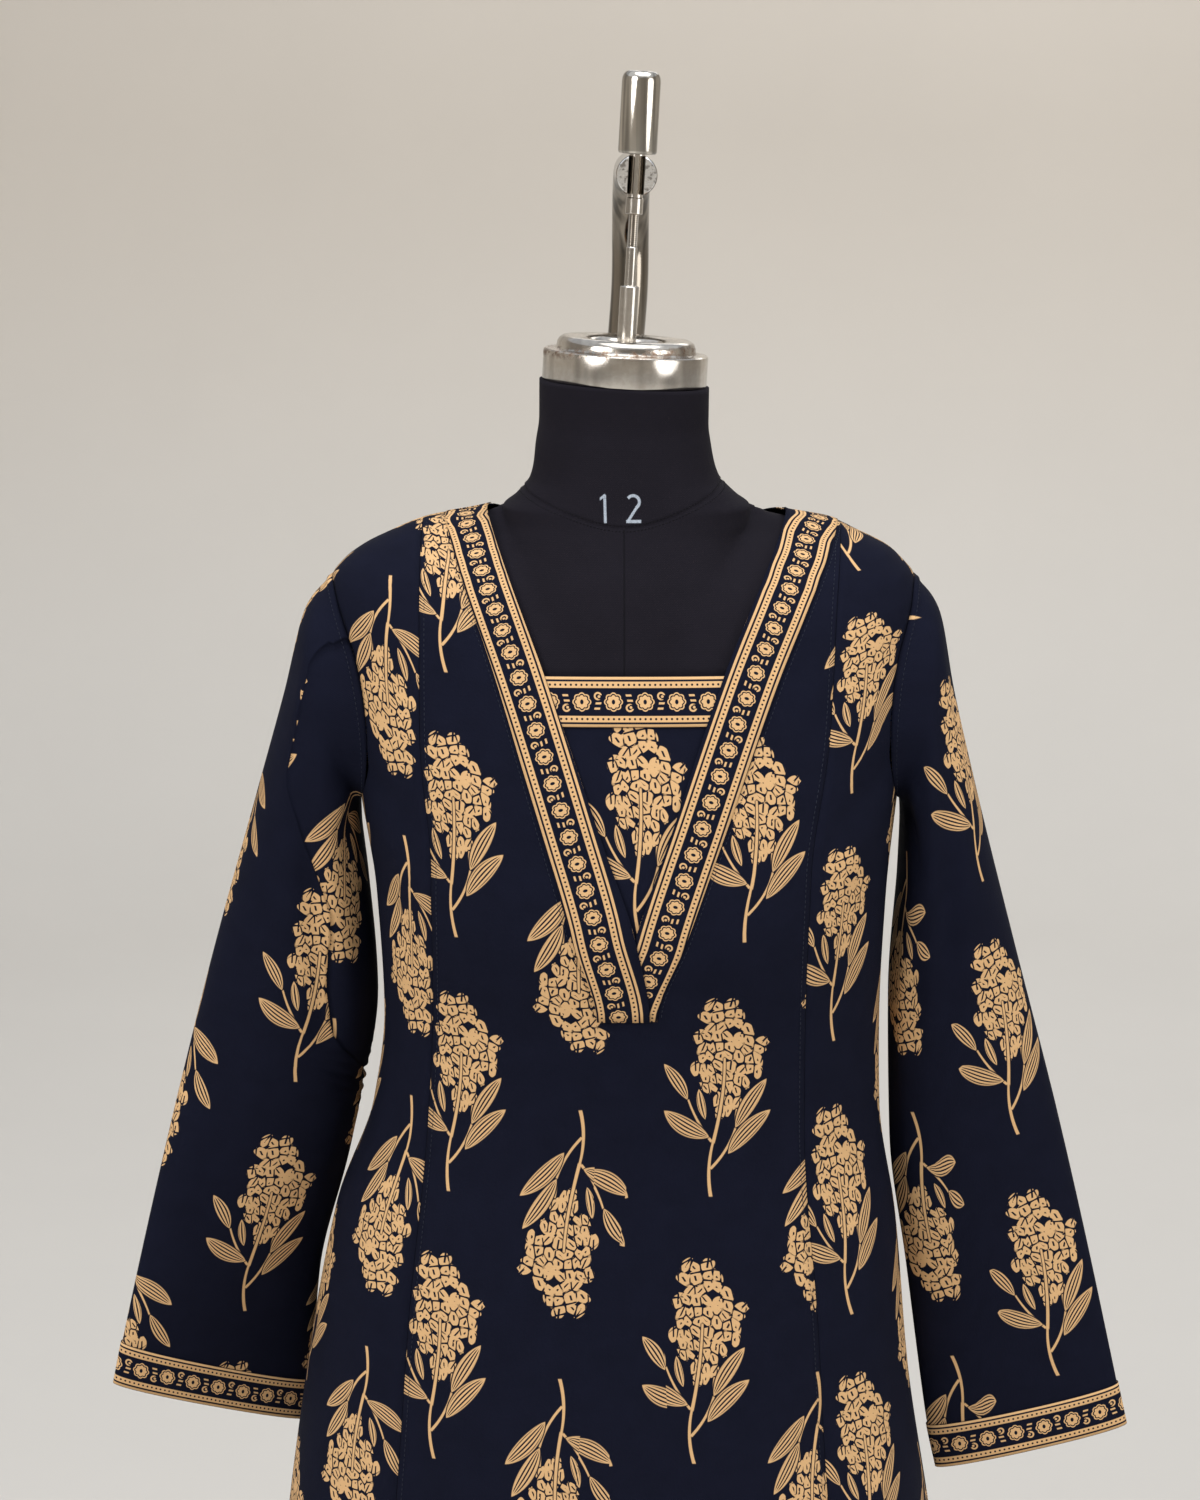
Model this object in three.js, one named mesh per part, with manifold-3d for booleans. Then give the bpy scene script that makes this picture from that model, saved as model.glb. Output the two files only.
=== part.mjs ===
// An a-line kurta worn by a limbless dress form that hangs from a crooked steel pole on a base plate.
// Millimetres, +Z up. x runs to the viewer's right, the front faces -y, and the origin lies on the
// base plate's underside, below the form's axis. "left" and "right" are as seen from the front.
//
// The cloth's outer face is one surface, worked out from horizontal sections: bodyPoint(angle, z) for the
// body and sleevePoint(name, turn, section) for a sleeve. Each cut piece is a patch of it, given a thickness.

import * as THREE from 'three';
import Module from 'manifold-3d';
import { mergeVertices } from 'three/addons/utils/BufferGeometryUtils.js';

const { PI, abs, acos, asin, cos, exp, hypot, max, min, round, sign, sin, sqrt, tan } = Math;
const { clamp, degToRad, euclideanModulo, lerp, smoothstep } = THREE.MathUtils;

// ---- Driving sizes

const CLOTH = 1.5; // wall of the kurta's panels
const TRIM = 1.0; // wall of the printed border strips
const SEAM = 0.3; // gap where two pieces meet
const HEM_Z = 290;
const UNDERARM_Z = 1225;
const SHOULDER_TIP_Z = 1369;
const V_POINT_Z = 1160; // where the neckline's inner edges meet
const V_END_Z = 1105; // the flat end of the strips below it
const INSET_TOP_Z = 1319;
const INSET_BAND_DEPTH = 30;
const BACK_NECK_Z = 1388;
const SHOULDER_Z = 1405; // where the lines that end on the shoulder are read
const REST_GAP = 1.0; // from the cloth's inner face to the form where the shoulders carry it

// ---- Tables: each row is a section, and the first column says where it is

/** Reads a named column at any place between the rows, along a curve that doesn't overshoot them. */
function table(columns, rows) {
  const sorted = [...rows].sort((a, b) => a[0] - b[0]);
  const places = sorted.map((row) => row[0]);
  const steps = places.slice(1).map((place, i) => place - places[i]);
  return (column, at) => {
    const values = sorted.map((row) => row[columns.indexOf(column)]);
    const rises = steps.map((step, i) => (values[i + 1] - values[i]) / step);
    const slope = (i) => {
      const [before, after] = [rises[max(i - 1, 0)], rises[min(i, rises.length - 1)]];
      return before * after > 0 ? (2 * before * after) / (before + after) : 0;
    };
    const place = clamp(at, places[0], places[places.length - 1]);
    const i = min(max(places.findIndex((p) => p >= place) - 1, 0), steps.length - 1);
    const t = (place - places[i]) / steps[i];
    const ease = t * t * (3 - 2 * t);
    const bulge = t * (1 - t) * steps[i];
    return lerp(values[i], values[i + 1], ease) + bulge * ((1 - t) * slope(i) - t * slope(i + 1));
  };
}

// The body's horizontal sections: half width, depth in front of and behind the side seams, and the section's
// shift sideways.
const body = table(['z', 'half', 'front', 'back', 'shift'], [
  [1414, 84, 12, 22, 1],
  [1411, 97, 18, 30, 1],
  [1405, 130, 32, 46, 1],
  [1396, 151, 45, 58, 0],
  [1387, 169, 56, 68, 0],
  [1378, 180, 65, 76, -1],
  [1369, 187, 73, 83, -1],
  [1350, 190, 85, 93, 0],
  [1319, 186, 98, 103, 1],
  [1280, 181, 111, 109, 2],
  [1225, 174, 124, 110, 3],
  [1160, 166.5, 132, 104, 4.5],
  [1082, 163.5, 119, 96, 5],
  [1015, 168.5, 117, 100, 1.5],
  [942, 187.3, 123, 118, -5.8],
  [813, 206, 134, 135, -11],
  [724, 220, 141, 145, -10],
  [500, 250, 158, 160, -8],
  [HEM_Z, 282, 172, 172, -6],
]);

// Flutes of the skirt: where they stand round the hem, how wide, how deep at the hem and where they start.
const FLUTES = [
  { angle: -118, width: 15, depth: 13, top: 780 },
  { angle: -66, width: 11, depth: 12, top: 840 },
  { angle: -31, width: 13, depth: 8, top: 640 },
  { angle: 14, width: 12, depth: 7, top: 600 },
  { angle: 52, width: 12, depth: 12, top: 860 },
  { angle: 84, width: 10, depth: 9, top: 700 },
  { angle: 121, width: 14, depth: 12, top: 760 },
  { angle: 160, width: 13, depth: 9, top: 660 },
  { angle: 203, width: 14, depth: 10, top: 720 },
];
const FLUTE_TROUGH = 0.35; // how far the cloth dips beside a flute, as a share of its depth

// The V neckline: x of the strips' inner and outer edges on either side. Below the strips' flat end, their
// outer edges go on only as lines of the panel's corners.
const vee = table(['z', 'innerLeft', 'innerRight', 'outerLeft', 'outerRight'], [
  [1411, -88, 103.5, -116, 139],
  [SHOULDER_Z, -85.5, 100.7, -114, 136.5],
  [INSET_TOP_Z, -50.2, 60.8, -81.4, 97.4],
  [1216, -13.4, 25, -49.6, 58.2],
  [V_POINT_Z, 5.6, 5.6, -33.3, 38.2],
  [V_END_Z, 15, -9, -17.9, 19.5],
  [HEM_Z, 15, -9, -76, 64],
]);

// The princess seams, x on either side.
const princess = table(['z', 'left', 'right'], [
  [SHOULDER_Z, -129.5, 138],
  [1357, -129, 132.2],
  [1277, -128.3, 127],
  [1195, -121.4, 115.5],
  [1115, -121.7, 113.5],
  [1030, -126, 114],
  [900, -139, 124],
  [812, -146, 130],
  [500, -172, 158],
  [HEM_Z, -190, 178],
]);

// The armhole's deepest cut into the body, as a share of the section's depth there.
const ARMHOLE_DEPTH = { front: 0.53, back: 0.53 };
const ARMHOLE_ROUNDNESS = 1.5;

// A sleeve's sections from the cap to the hem: its outer and inner edges as seen from the front, half its
// depth, its middle in y, and how far the outer edge stands before the inner one.
const sleeve = {
  right: table(['section', 'outerX', 'outerZ', 'innerX', 'innerZ', 'depth', 'y', 'twist'], [
    [0, 186, 1369, 177.4, 1225.4, 56, 0, 0],
    [1, 202, 1348, 180.5, 1219, 58, 0, 0],
    [2, 213.5, 1293, 181.5, 1203, 59, -1, 0],
    [3, 230, 1226, 180, 1168, 55, -2, 0],
    [4, 257, 1125, 175, 1092, 43, -4, 0],
    [5, 288.5, 1010, 177.5, 992, 29, -5, 0],
    [6, 312, 915, 190.5, 900, 20, -6, 2],
    [7, 334.5, 817, 207.5, 783, 11, -8, 4],
    [8, 341.5, 787, 214.5, 752, 9, -8, 4],
  ]),
  left: table(['section', 'outerX', 'outerZ', 'innerX', 'innerZ', 'depth', 'y', 'twist'], [
    [0, -188, 1369, -171.4, 1225.4, 56, 0, 0],
    [1, -205, 1349, -173, 1219, 58, 0, 0],
    [2, -221, 1291, -172.5, 1203, 59, -1, 0],
    [3, -240.5, 1224, -168.5, 1168, 55, -1, 0],
    [4, -269.5, 1124, -163.5, 1090, 43, -1, 4],
    [5, -299.5, 1010, -183.5, 980, 29, 2, 14],
    [6, -321, 922, -208.5, 882, 20, 8, 24],
    [7, -337.5, 850, -217, 795, 11, 12, 33],
    [8, -344, 820, -221.5, 764, 9, 14, 34],
  ]),
};
const SLEEVE_SECTIONS = 8;
const CUFF_SECTION = 7; // where the cuff's border strip starts
const CAP_SHARE = 0.16; // the stretch of the sleeve that eases from the armhole's shape to its sections
const SLEEVE_FULLNESS = 2.2;
const SLEEVE_GAP = 0.45; // off the armhole's edge, so that the curved edges stay a seam's gap apart

// Long creases down the sleeves: x at their top and foot, the stretch of z, half width and depth.
const CREASES = {
  right: [
    { topX: 203, footX: 211, top: 1335, foot: 1060, width: 9, depth: 5, face: -1 },
    { topX: 226, footX: 252, top: 1215, foot: 1010, width: 12, depth: 3, face: 1 },
  ],
  left: [
    { topX: -205, footX: -196, top: 1290, foot: 1030, width: 9, depth: 4, face: -1 },
    { topX: -228, footX: -262, top: 1200, foot: 1000, width: 12, depth: 3, face: 1 },
  ],
};

const CREASE_ENDS = 0.7; // how early a crease reaches its depth: less is sooner

// The form's torso and the neck that grows out of it, as depths about the same axis as the cloth's sections.
const torso = table(['z', 'half', 'front', 'back'], [
  [1414, 84, 8, 18],
  [1409, 89, 14, 23],
  [1405, 106, 21, 33],
  [1396, 141, 38, 50],
  [1387, 167, 56, 68],
  [1369, 190, 80, 88],
  [1340, 181, 92, 96],
  [1300, 173, 104, 103],
  [1225, 163, 121, 105],
  [1160, 164, 129, 98],
  [1082, 128, 92, 78],
  [1000, 158, 98, 92],
  [900, 178, 108, 112],
  [800, 176, 106, 112],
  [716, 166, 98, 104],
]);
const neck = table(['z', 'half', 'front', 'back', 'shift'], [
  [1491, 54, 52, 50, -0.6],
  [1468, 54, 52, 50, -0.8],
  [1453, 56, 54, 51, -1],
  [1440, 58, 56, 52, -0.5],
  [1431, 61, 57.5, 53, 0],
  [1425, 66, 58.5, 54, 0.4],
  [1420, 71, 59.5, 53, 0.8],
  [1413, 79, 61, 53, 1],
  [1406, 79, 63, 53, 1],
  [1387, 80, 72, 55, 0],
  [1369, 84, 81, 63, -1],
  [1345, 92, 88, 74, 0],
  [1319, 100, 91, 86, 1],
  [1280, 95, 80, 80, 2],
]);
const FORM_TOP_Z = 1491;
const NECK_BLEND = 4; // how softly the neck runs into the shoulders
const NECK_START_Z = 1285; // below this the neck is inside the torso
const NECK_ONLY_Z = 1413; // above this there is only neck
const LEAN_START_Z = 1420; // above this the neck's sections tilt towards the rod's lean
const FORM_FIT_Z = 1320; // above this the form is shaped to carry the cloth
const LOOSE_GAP = 2.5; // from the cloth's inner face to the form elsewhere, at least
const FORM_LEVELS = [
  708, 714, 730, 770, 820, 880, 940, 1000, 1045, 1082, 1120, 1160, 1192, 1225, 1262, 1300, 1325, 1350, 1362,
  1371, 1379, 1386, 1392, 1397, 1401, 1405, 1409, 1413, 1420, 1427, 1436, 1450, 1468, 1491,
];
const FORM_QUARTER = [0, 17, 33, 48, 60, 69, 77, 84, 90]; // angles of the section's corners, in degrees

// The steel: cap, rod, knob, crook, collar and base.
const HANG_LEAN = degToRad(3.2); // the hanging form leans to the viewer's right
const HANG_X = -0.6; // where the rod's axis meets the top of the neck
const CAP = { radius: 52.5, height: 20, edge: 1, ring: 44.2, ringHeight: 28.5, ringEdge: 3.5, cove: 2 };
const DISH = { radius: 21.5, slope: 3, fall: 1.5, lip: 4, floor: 20 };
const ROD = {
  sleeve: { radius: 6, top: 61 },
  shank: { radius: 3.5, top: 85 },
  thread: { radius: 2.75, top: 106 },
  collar: { radius: 5.5, top: 116.2 },
  head: { radius: 4.9, top: 143 },
};
const KNOB = { radius: 12.25, height: 51, round: 9, edge: 1.5, steps: 5 };
const POLE = { radius: 13, y: 230, straightTop: 1440, crookZ: 1621, bend: 62 };
const ARM = { startX: 5.4, x: 6.9, endY: -12 }; // the crook's arm, which reaches forward over the form
const SLOT = { width: 10.6, height: 52, back: 8, front: -52 };
const POLE_SIDES = 14;
const POLE_STEPS = [6, 4, 8, 2]; // rings along the straight, the lean, the bend and the arm
const TURNED_SIDES = { cap: 24, rod: 12, knob: 18, collar: 20 };
const ARC_PULL = 0.45; // places the handles that round off the bend
const LEAN_PULL = 1.7; // and the one that starts it, in bends below the arm
const COLLAR = { radius: 27, height: 26, edge: 2 };
const BASE = { width: 400, front: -180, back: 270, height: 10, corner: 34, edge: 1 };

const COLORS = {
  cloth: { color: 0x14181f, roughness: 0.82, metalness: 0 },
  border: { color: 0xb98a52, roughness: 0.8, metalness: 0 },
  jersey: { color: 0x222026, roughness: 0.9, metalness: 0 },
  steel: { color: 0x9a9a9c, roughness: 0.3, metalness: 1 },
  darkSteel: { color: 0x4a4b4f, roughness: 0.35, metalness: 1 },
};

// ---- Surfaces

const SIDE = PI / 2;
const STEP = 1e-3; // over which directions and corners are told apart
const FULLNESS = { front: 2.5, back: 2.3 };
const face = (angle) => (abs(angle) > SIDE ? 'back' : 'front');
const power = (value, n) => sign(value) * abs(value) ** n;

/** How far the skirt's flutes move the cloth outwards at this angle and height. */
function fluteDepth(angle, z) {
  let depth = 0;
  for (const flute of FLUTES) {
    const turn = euclideanModulo(angle - degToRad(flute.angle) + PI, 2 * PI) - PI;
    const across = turn / degToRad(flute.width);
    const down = smoothstep(flute.top - z, 0, flute.top - HEM_Z);
    const dip = FLUTE_TROUGH * exp(-((abs(across) - 2) ** 2));
    depth += flute.depth * down * (exp(-across * across) - dip);
  }
  return depth;
}

/** A point of the kurta's outer face. The angle is 0 in front, PI / 2 at the viewer's right, PI behind. */
function bodyPoint(angle, z) {
  const n = 2 / FULLNESS[face(angle)];
  const x = body('half', z) * power(sin(angle), n);
  const y = -body(face(angle), z) * power(cos(angle), n);
  const swell = 1 + fluteDepth(angle, z) / hypot(x, y);
  return new THREE.Vector3(body('shift', z) + x * swell, y * swell, z);
}

/** The angle at which the body's section at z has this x. */
function angleAt(x, z, where = 'front') {
  const across = clamp((x - body('shift', z)) / body('half', z), -1, 1);
  const angle = asin(abs(across) ** (FULLNESS[where] / 2));
  return (across < 0 ? -1 : 1) * (where === 'back' ? PI - angle : angle);
}

/** The angle of a side or shoulder edge, half a seam's gap short of the plane where front meets back. */
function edgeAngle(side, z, where) {
  const angle = acos((SEAM / 2 / body(where, z)) ** (FULLNESS[where] / 2));
  return side * (where === 'back' ? PI - angle : angle);
}

/** The outward direction of a surface given by two numbers, square to it. */
function squareTo(point, a, b) {
  const along = point(a + STEP, b).sub(point(a - STEP, b));
  const down = point(a, b + STEP).sub(point(a, b - STEP));
  return along.cross(down).normalize();
}
const onBody = ([angle, z]) => ({ p: bodyPoint(angle, z), n: squareTo(bodyPoint, angle, z) });

const [SLOPE_FOOT_Z, SLOPE_TOP_Z] = [1350, 1414]; // between these the sections narrow towards the neck

/** The height of the shoulder ridge where the sections are this wide. */
function ridgeZ(half) {
  let [low, high] = [SLOPE_FOOT_Z, SLOPE_TOP_Z];
  while (high - low > STEP) {
    const middle = (low + high) / 2;
    if (body('half', middle) > half) low = middle;
    else high = middle;
  }
  return low;
}
const ridgeAt = (x) => ridgeZ(abs(x - body('shift', SHOULDER_Z)));

/** A point of the armhole's edge. The turn runs from the shoulder tip over the front to the underarm. */
function armhole(side, turn, where = turn < 0 || turn > PI ? 'back' : 'front') {
  const z = lerp(UNDERARM_Z, SHOULDER_TIP_Z, (1 + cos(turn)) / 2);
  const cut = ARMHOLE_DEPTH[where] ** FULLNESS[where] * abs(sin(turn)) ** ARMHOLE_ROUNDNESS;
  const angle = asin(sqrt(1 - cut));
  const edge = edgeAngle(1, z, where);
  return [side * (where === 'back' ? max(PI - angle, edge) : min(angle, edge)), z];
}

const SIDES = { left: -1, right: 1 };

/** The depth of a sleeve's creases at a point of its face. */
function creaseDepth(name, point, y) {
  let depth = 0;
  for (const crease of CREASES[name]) {
    const down = (crease.top - point.z) / (crease.top - crease.foot);
    if (down <= 0 || down >= 1 || (point.y - y) * crease.face < 0) continue;
    const across = (point.x - lerp(crease.topX, crease.footX, down)) / crease.width;
    depth += crease.depth * sin(PI * down) ** CREASE_ENDS * exp(-across * across);
  }
  return depth;
}

/** The in-surface direction off the body's edge at the armhole. */
function offArmhole(side, turn) {
  const edge = (t) => bodyPoint(...armhole(side, t));
  const along = edge(turn + STEP).sub(edge(turn - STEP));
  const [angle, z] = armhole(side, turn);
  return squareTo(bodyPoint, angle, z).cross(along).multiplyScalar(side).normalize();
}

/** A point of a sleeve's outer face: round it by turn, as at the armhole, and down it by section. */
function sleevePoint(name, turn, section) {
  const at = (column, place = section) => sleeve[name](column, place);
  const ring = (place) => {
    const outer = new THREE.Vector3(at('outerX', place), -at('twist', place), at('outerZ', place));
    const inner = new THREE.Vector3(at('innerX', place), at('twist', place), at('innerZ', place));
    const reach = power(cos(turn), 2 / SLEEVE_FULLNESS);
    const point = inner.clone().lerp(outer, (1 + reach) / 2);
    point.y += at('y', place) - at('depth', place) * power(sin(turn), 2 / SLEEVE_FULLNESS);
    return point;
  };
  const point = ring(section);
  const share = max(0, 1 - section / (CAP_SHARE * SLEEVE_SECTIONS));
  if (share > 0) {
    const side = SIDES[name];
    const seam = bodyPoint(...armhole(side, turn)).addScaledVector(offArmhole(side, turn), SLEEVE_GAP);
    point.addScaledVector(seam.sub(ring(0)), share * share);
  }
  const middle = at('y');
  const dent = creaseDepth(name, point, middle);
  point.y += dent * sign(middle - point.y);
  return point;
}

/** A sleeve's point with the direction its thickness is measured in, kept off the body at the armhole. */
function onSleeve(name, turn, section) {
  const side = SIDES[name];
  const below = (a, b) => sleevePoint(name, a, max(b, 0));
  const n = squareTo(below, turn, section).multiplyScalar(side);
  if (section === 0) {
    const off = offArmhole(side, turn);
    const lean = n.dot(off);
    if (lean > 0) n.addScaledVector(off, -lean).normalize();
  }
  return { p: sleevePoint(name, turn, section), n };
}

// ---- Walls

/** A patch: the quads of a grid whose corners come from place(u, v), u and v from 0 to 1. */
function grid(columns, rows, place) {
  const corners = [];
  for (let j = 0; j <= rows; j += 1) {
    for (let i = 0; i <= columns; i += 1) corners.push(place(i / columns, j / rows));
  }
  const quads = [];
  for (let j = 0; j < rows; j += 1) {
    for (let i = 0; i < columns; i += 1) {
      const first = j * (columns + 1) + i;
      const quad = [first, first + columns + 1, first + columns + 2, first + 1];
      quads.push(quad.map((index) => corners[index]));
    }
  }
  return quads;
}

/** How much a quad's corners, taken in order, face the way its points say is outwards. */
const facing = ([a, b, c, d]) => c.p.clone().sub(a.p).cross(d.p.clone().sub(b.p)).dot(a.n);

/** A closed wall on patches of quads: lift moves its outer face out, and thickness is measured inwards. */
function wall(patches, thickness, lift = 0) {
  const index = new Map();
  const outer = [];
  const inner = [];
  const numberOf = ({ p, n }) => {
    const key = p.toArray().map((value) => round(value / (2 * STEP))).join();
    if (!index.has(key)) {
      index.set(key, outer.length);
      outer.push(p.clone().addScaledVector(n, lift));
      inner.push(p.clone().addScaledVector(n, lift - thickness));
    }
    return index.get(key);
  };
  const quads = patches.flatMap((patch) => {
    const corners = patch.map((quad) => quad.map(numberOf));
    const outwards = patch.reduce((sum, quad) => sum + facing(quad), 0) > 0;
    return outwards ? corners : corners.map((quad) => quad.reverse());
  });
  const edges = new Map();
  for (const quad of quads) {
    quad.forEach((id, i) => edges.set(`${id},${quad[(i + 1) % 4]}`, [id, quad[(i + 1) % 4]]));
  }
  const count = outer.length;
  const faces = quads.flatMap(([a, b, c, d]) => [a, b, c, a, c, d]
    .concat([c, b, a, d, c, a].map((id) => id + count)));
  for (const [a, b] of edges.values()) {
    if (!edges.has(`${b},${a}`)) faces.push(b, a, a + count, b, a + count, b + count);
  }
  return solid([...outer, ...inner], faces);
}

function solid(points, faces) {
  const geometry = new THREE.BufferGeometry();
  geometry.setAttribute('position', new THREE.Float32BufferAttribute(points.flatMap((p) => p.toArray()), 3));
  geometry.setIndex(faces);
  geometry.computeVertexNormals();
  return geometry;
}

const group = new THREE.Group();

function add(name, geometry, { color, roughness, metalness }, parent = group) {
  const mesh = new THREE.Mesh(geometry, new THREE.MeshStandardMaterial({ color, roughness, metalness }));
  mesh.name = name;
  parent.add(mesh);
  return mesh;
}

// ---- The kurta's panels

const UPPER_ROWS = 10; // rows from the shoulder to the underarm, and half the corners round an armhole
const CENTER_COLUMNS = 4; // columns from a princess seam to a border strip's outer edge
const STRIP_COLUMNS = 2; // columns under a border strip
const SKIRT_ROWS = 14; // rows from the strips' end to the hem
const SIDE_COLUMNS = 5;
const BACK_COLUMNS = 3; // columns of the back that end on the shoulder, in each half
const NECK_COLUMNS = 5; // and at the neckline
const NECK_COLUMN_EASE = 1.7; // closer together beside the shoulder, where the cloth turns sharply
const BACK_NECK_ROUND = 2.2;
const SLEEVE_ROWS = 16;
const BAND_ROWS = 2; // rows of the inset under its border strip
const INSET_ROWS = 8;
const INSET_COLUMNS = 6;
const OVERLAP_RUN = 45; // the length over which the upper strip climbs onto the lower one
const INSET_FOOT = 7; // how far above the V's point the inset ends
const HALF_SEAM = SEAM / 2;
const INSET_GAP = 0.5; // beside the inset, whose rows differ from its neighbour's

/** Heights that fall slowly at first, where the cloth turns over the shoulder. */
const falling = (from, to, v) => lerp(from, to, v * v);

// The rows below the underarm, the same on every panel, with one at the V's point and one at the strips' end.
const LEVELS = [UNDERARM_Z, (UNDERARM_Z + V_POINT_Z) / 2, V_POINT_Z, (V_POINT_Z + V_END_Z) / 2];
for (let i = 0; i <= SKIRT_ROWS; i += 1) LEVELS.push(lerp(V_END_Z, HEM_Z, i / SKIRT_ROWS));

/** The height of a numbered row: UPPER_ROWS of them from the top edge to the underarm, then the levels. */
function rowZ(top, row) {
  return row < UPPER_ROWS ? falling(top, UNDERARM_Z, row / UPPER_ROWS) : LEVELS[row - UPPER_ROWS];
}

/** A patch of the body between two edges, each a function that gives an [angle, z] pair for a row. */
function ruled(columns, firstRow, lastRow, start, end) {
  return grid(columns, lastRow - firstRow, (u, v) => {
    const row = round(lerp(firstRow, lastRow, v));
    const [from, to] = [start(row), end(row)];
    return onBody([lerp(from[0], to[0], u), lerp(from[1], to[1], u)]);
  });
}

const LAST_ROW = UPPER_ROWS + LEVELS.length - 1;
const V_ROW = UPPER_ROWS + LEVELS.indexOf(V_POINT_Z);
const V_END_ROW = UPPER_ROWS + LEVELS.indexOf(V_END_Z);

/** An edge that starts on the shoulder at this x and runs down at x(z). */
function bodyEdge(side, x, where = 'front') {
  const top = ridgeAt(x(SHOULDER_Z));
  return (row) => {
    const z = rowZ(top, row);
    return [row === 0 ? edgeAngle(side, z, where) : angleAt(x(z), z, where), z];
  };
}

/** The middle of the front, from the V's point to the hem. */
function middleEdge(row) {
  const z = rowZ(0, row);
  const point = angleAt(vee('innerLeft', V_POINT_Z), V_POINT_Z);
  return [lerp(point, 0, smoothstep(-z, -V_POINT_Z, -HEM_Z)), z];
}

/** The lines down the front on one side: princess seam, and the border strip's outer and inner edges. */
function frontLines(name) {
  const side = SIDES[name];
  const [outer, inner] = side < 0 ? ['outerLeft', 'innerLeft'] : ['outerRight', 'innerRight'];
  return {
    seam: bodyEdge(side, (z) => princess(name, z) - side * HALF_SEAM),
    stripOuter: bodyEdge(side, (z) => vee(outer, z)),
    stripInner: bodyEdge(side, (z) => vee(inner, z)),
  };
}

function frontCenter() {
  return Object.keys(SIDES).flatMap((name) => {
    const { seam, stripOuter, stripInner } = frontLines(name);
    return [
      ruled(CENTER_COLUMNS, 0, LAST_ROW, seam, stripOuter),
      ruled(STRIP_COLUMNS, 0, V_ROW, stripOuter, stripInner),
      ruled(STRIP_COLUMNS, V_ROW, LAST_ROW, stripOuter, middleEdge),
    ];
  });
}

/** A border strip along one side of the V. The left one climbs over the right one below the V's point. */
function neckBand(name) {
  const { stripOuter, stripInner } = frontLines(name);
  const patches = [ruled(STRIP_COLUMNS, 0, V_END_ROW, stripOuter, stripInner)];
  if (name === 'right') return patches;
  return patches.map((patch) => patch.map((quad) => quad.map(({ p, n }) => {
    const climb = (TRIM + SEAM) * smoothstep(-p.z, -V_POINT_Z - OVERLAP_RUN, -V_POINT_Z);
    return { p: p.clone().addScaledVector(n, climb), n };
  })));
}

/** The first rows of the inset, which fills the V between its inner edges. The strip on it has BAND_ROWS. */
function inset(rows) {
  const [left, right] = [(z) => vee('innerLeft', z) + INSET_GAP, (z) => vee('innerRight', z) - INSET_GAP];
  return [grid(INSET_COLUMNS, rows, (u, v) => {
    const row = round(v * rows);
    const bandFoot = INSET_TOP_Z - INSET_BAND_DEPTH;
    const z = row <= BAND_ROWS
      ? lerp(INSET_TOP_Z, bandFoot, row / BAND_ROWS)
      : lerp(bandFoot, V_POINT_Z + INSET_FOOT, (row - BAND_ROWS) / (INSET_ROWS - BAND_ROWS));
    return onBody([lerp(angleAt(left(z), z), angleAt(right(z), z), u), z]);
  })];
}

/** The edge of a side panel: the armhole, then the side seam. */
const outerEdge = (side, where) => (row) => {
  if (row <= UPPER_ROWS) return armhole(side, (PI * row) / UPPER_ROWS, where);
  return [edgeAngle(side, rowZ(0, row), where), rowZ(0, row)];
};

function frontSide(name) {
  const side = SIDES[name];
  const seam = bodyEdge(side, (z) => princess(name, z) + side * HALF_SEAM);
  return [ruled(SIDE_COLUMNS, 0, LAST_ROW, seam, outerEdge(side, 'front'))];
}

/** The back panel: on each side a stretch below the shoulder, then one below the neckline. */
function back() {
  return Object.entries(SIDES).flatMap(([name, side]) => {
    const neckX = vee(side < 0 ? 'innerLeft' : 'innerRight', SHOULDER_Z);
    const neckTop = ridgeAt(neckX);
    const shoulderLine = bodyEdge(side, (z) => princess(name, z), 'back');
    const neckLine = bodyEdge(side, () => neckX, 'back');
    return [
      ruled(SIDE_COLUMNS, 0, LAST_ROW, outerEdge(side, 'back'), shoulderLine),
      ruled(BACK_COLUMNS, 0, LAST_ROW, shoulderLine, neckLine),
      grid(NECK_COLUMNS, LAST_ROW, (u, v) => {
        const row = round(v * LAST_ROW);
        const inwards = u ** NECK_COLUMN_EASE;
        const z = lerp(rowZ(BACK_NECK_Z, row), rowZ(neckTop, row), (1 - inwards) ** BACK_NECK_ROUND);
        if (u === 0) return onBody(neckLine(row));
        return onBody([side * abs(angleAt(lerp(neckX, body('shift', z), inwards), z, 'back')), z]);
      }),
    ];
  });
}

/** A stretch of sleeve from one section to another, closed all round. */
function sleeveTube(name, from, to, rows) {
  return [grid(2 * UPPER_ROWS, rows, (u, v) => onSleeve(name, 2 * PI * (u % 1), lerp(from, to, v)))];
}

add('front_center', wall(frontCenter(), CLOTH), COLORS.cloth);
add('back', wall(back(), CLOTH), COLORS.cloth);
for (const name of Object.keys(SIDES)) {
  add(`front_side_${name}`, wall(frontSide(name), CLOTH), COLORS.cloth);
  add(`sleeve_${name}`, wall(sleeveTube(name, 0, SLEEVE_SECTIONS, SLEEVE_ROWS), CLOTH), COLORS.cloth);
  add(`neck_band_${name}`, wall(neckBand(name), TRIM, SEAM + TRIM), COLORS.border);
  const cuff = sleeveTube(name, CUFF_SECTION, SLEEVE_SECTIONS, SLEEVE_ROWS / SLEEVE_SECTIONS);
  add(`cuff_band_${name}`, wall(cuff, TRIM, SEAM + TRIM), COLORS.border);
}
add('neck_inset', wall(inset(INSET_ROWS), CLOTH), COLORS.cloth);
add('inset_band', wall(inset(BAND_ROWS), TRIM, SEAM + TRIM), COLORS.border);

// ---- The form

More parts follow.
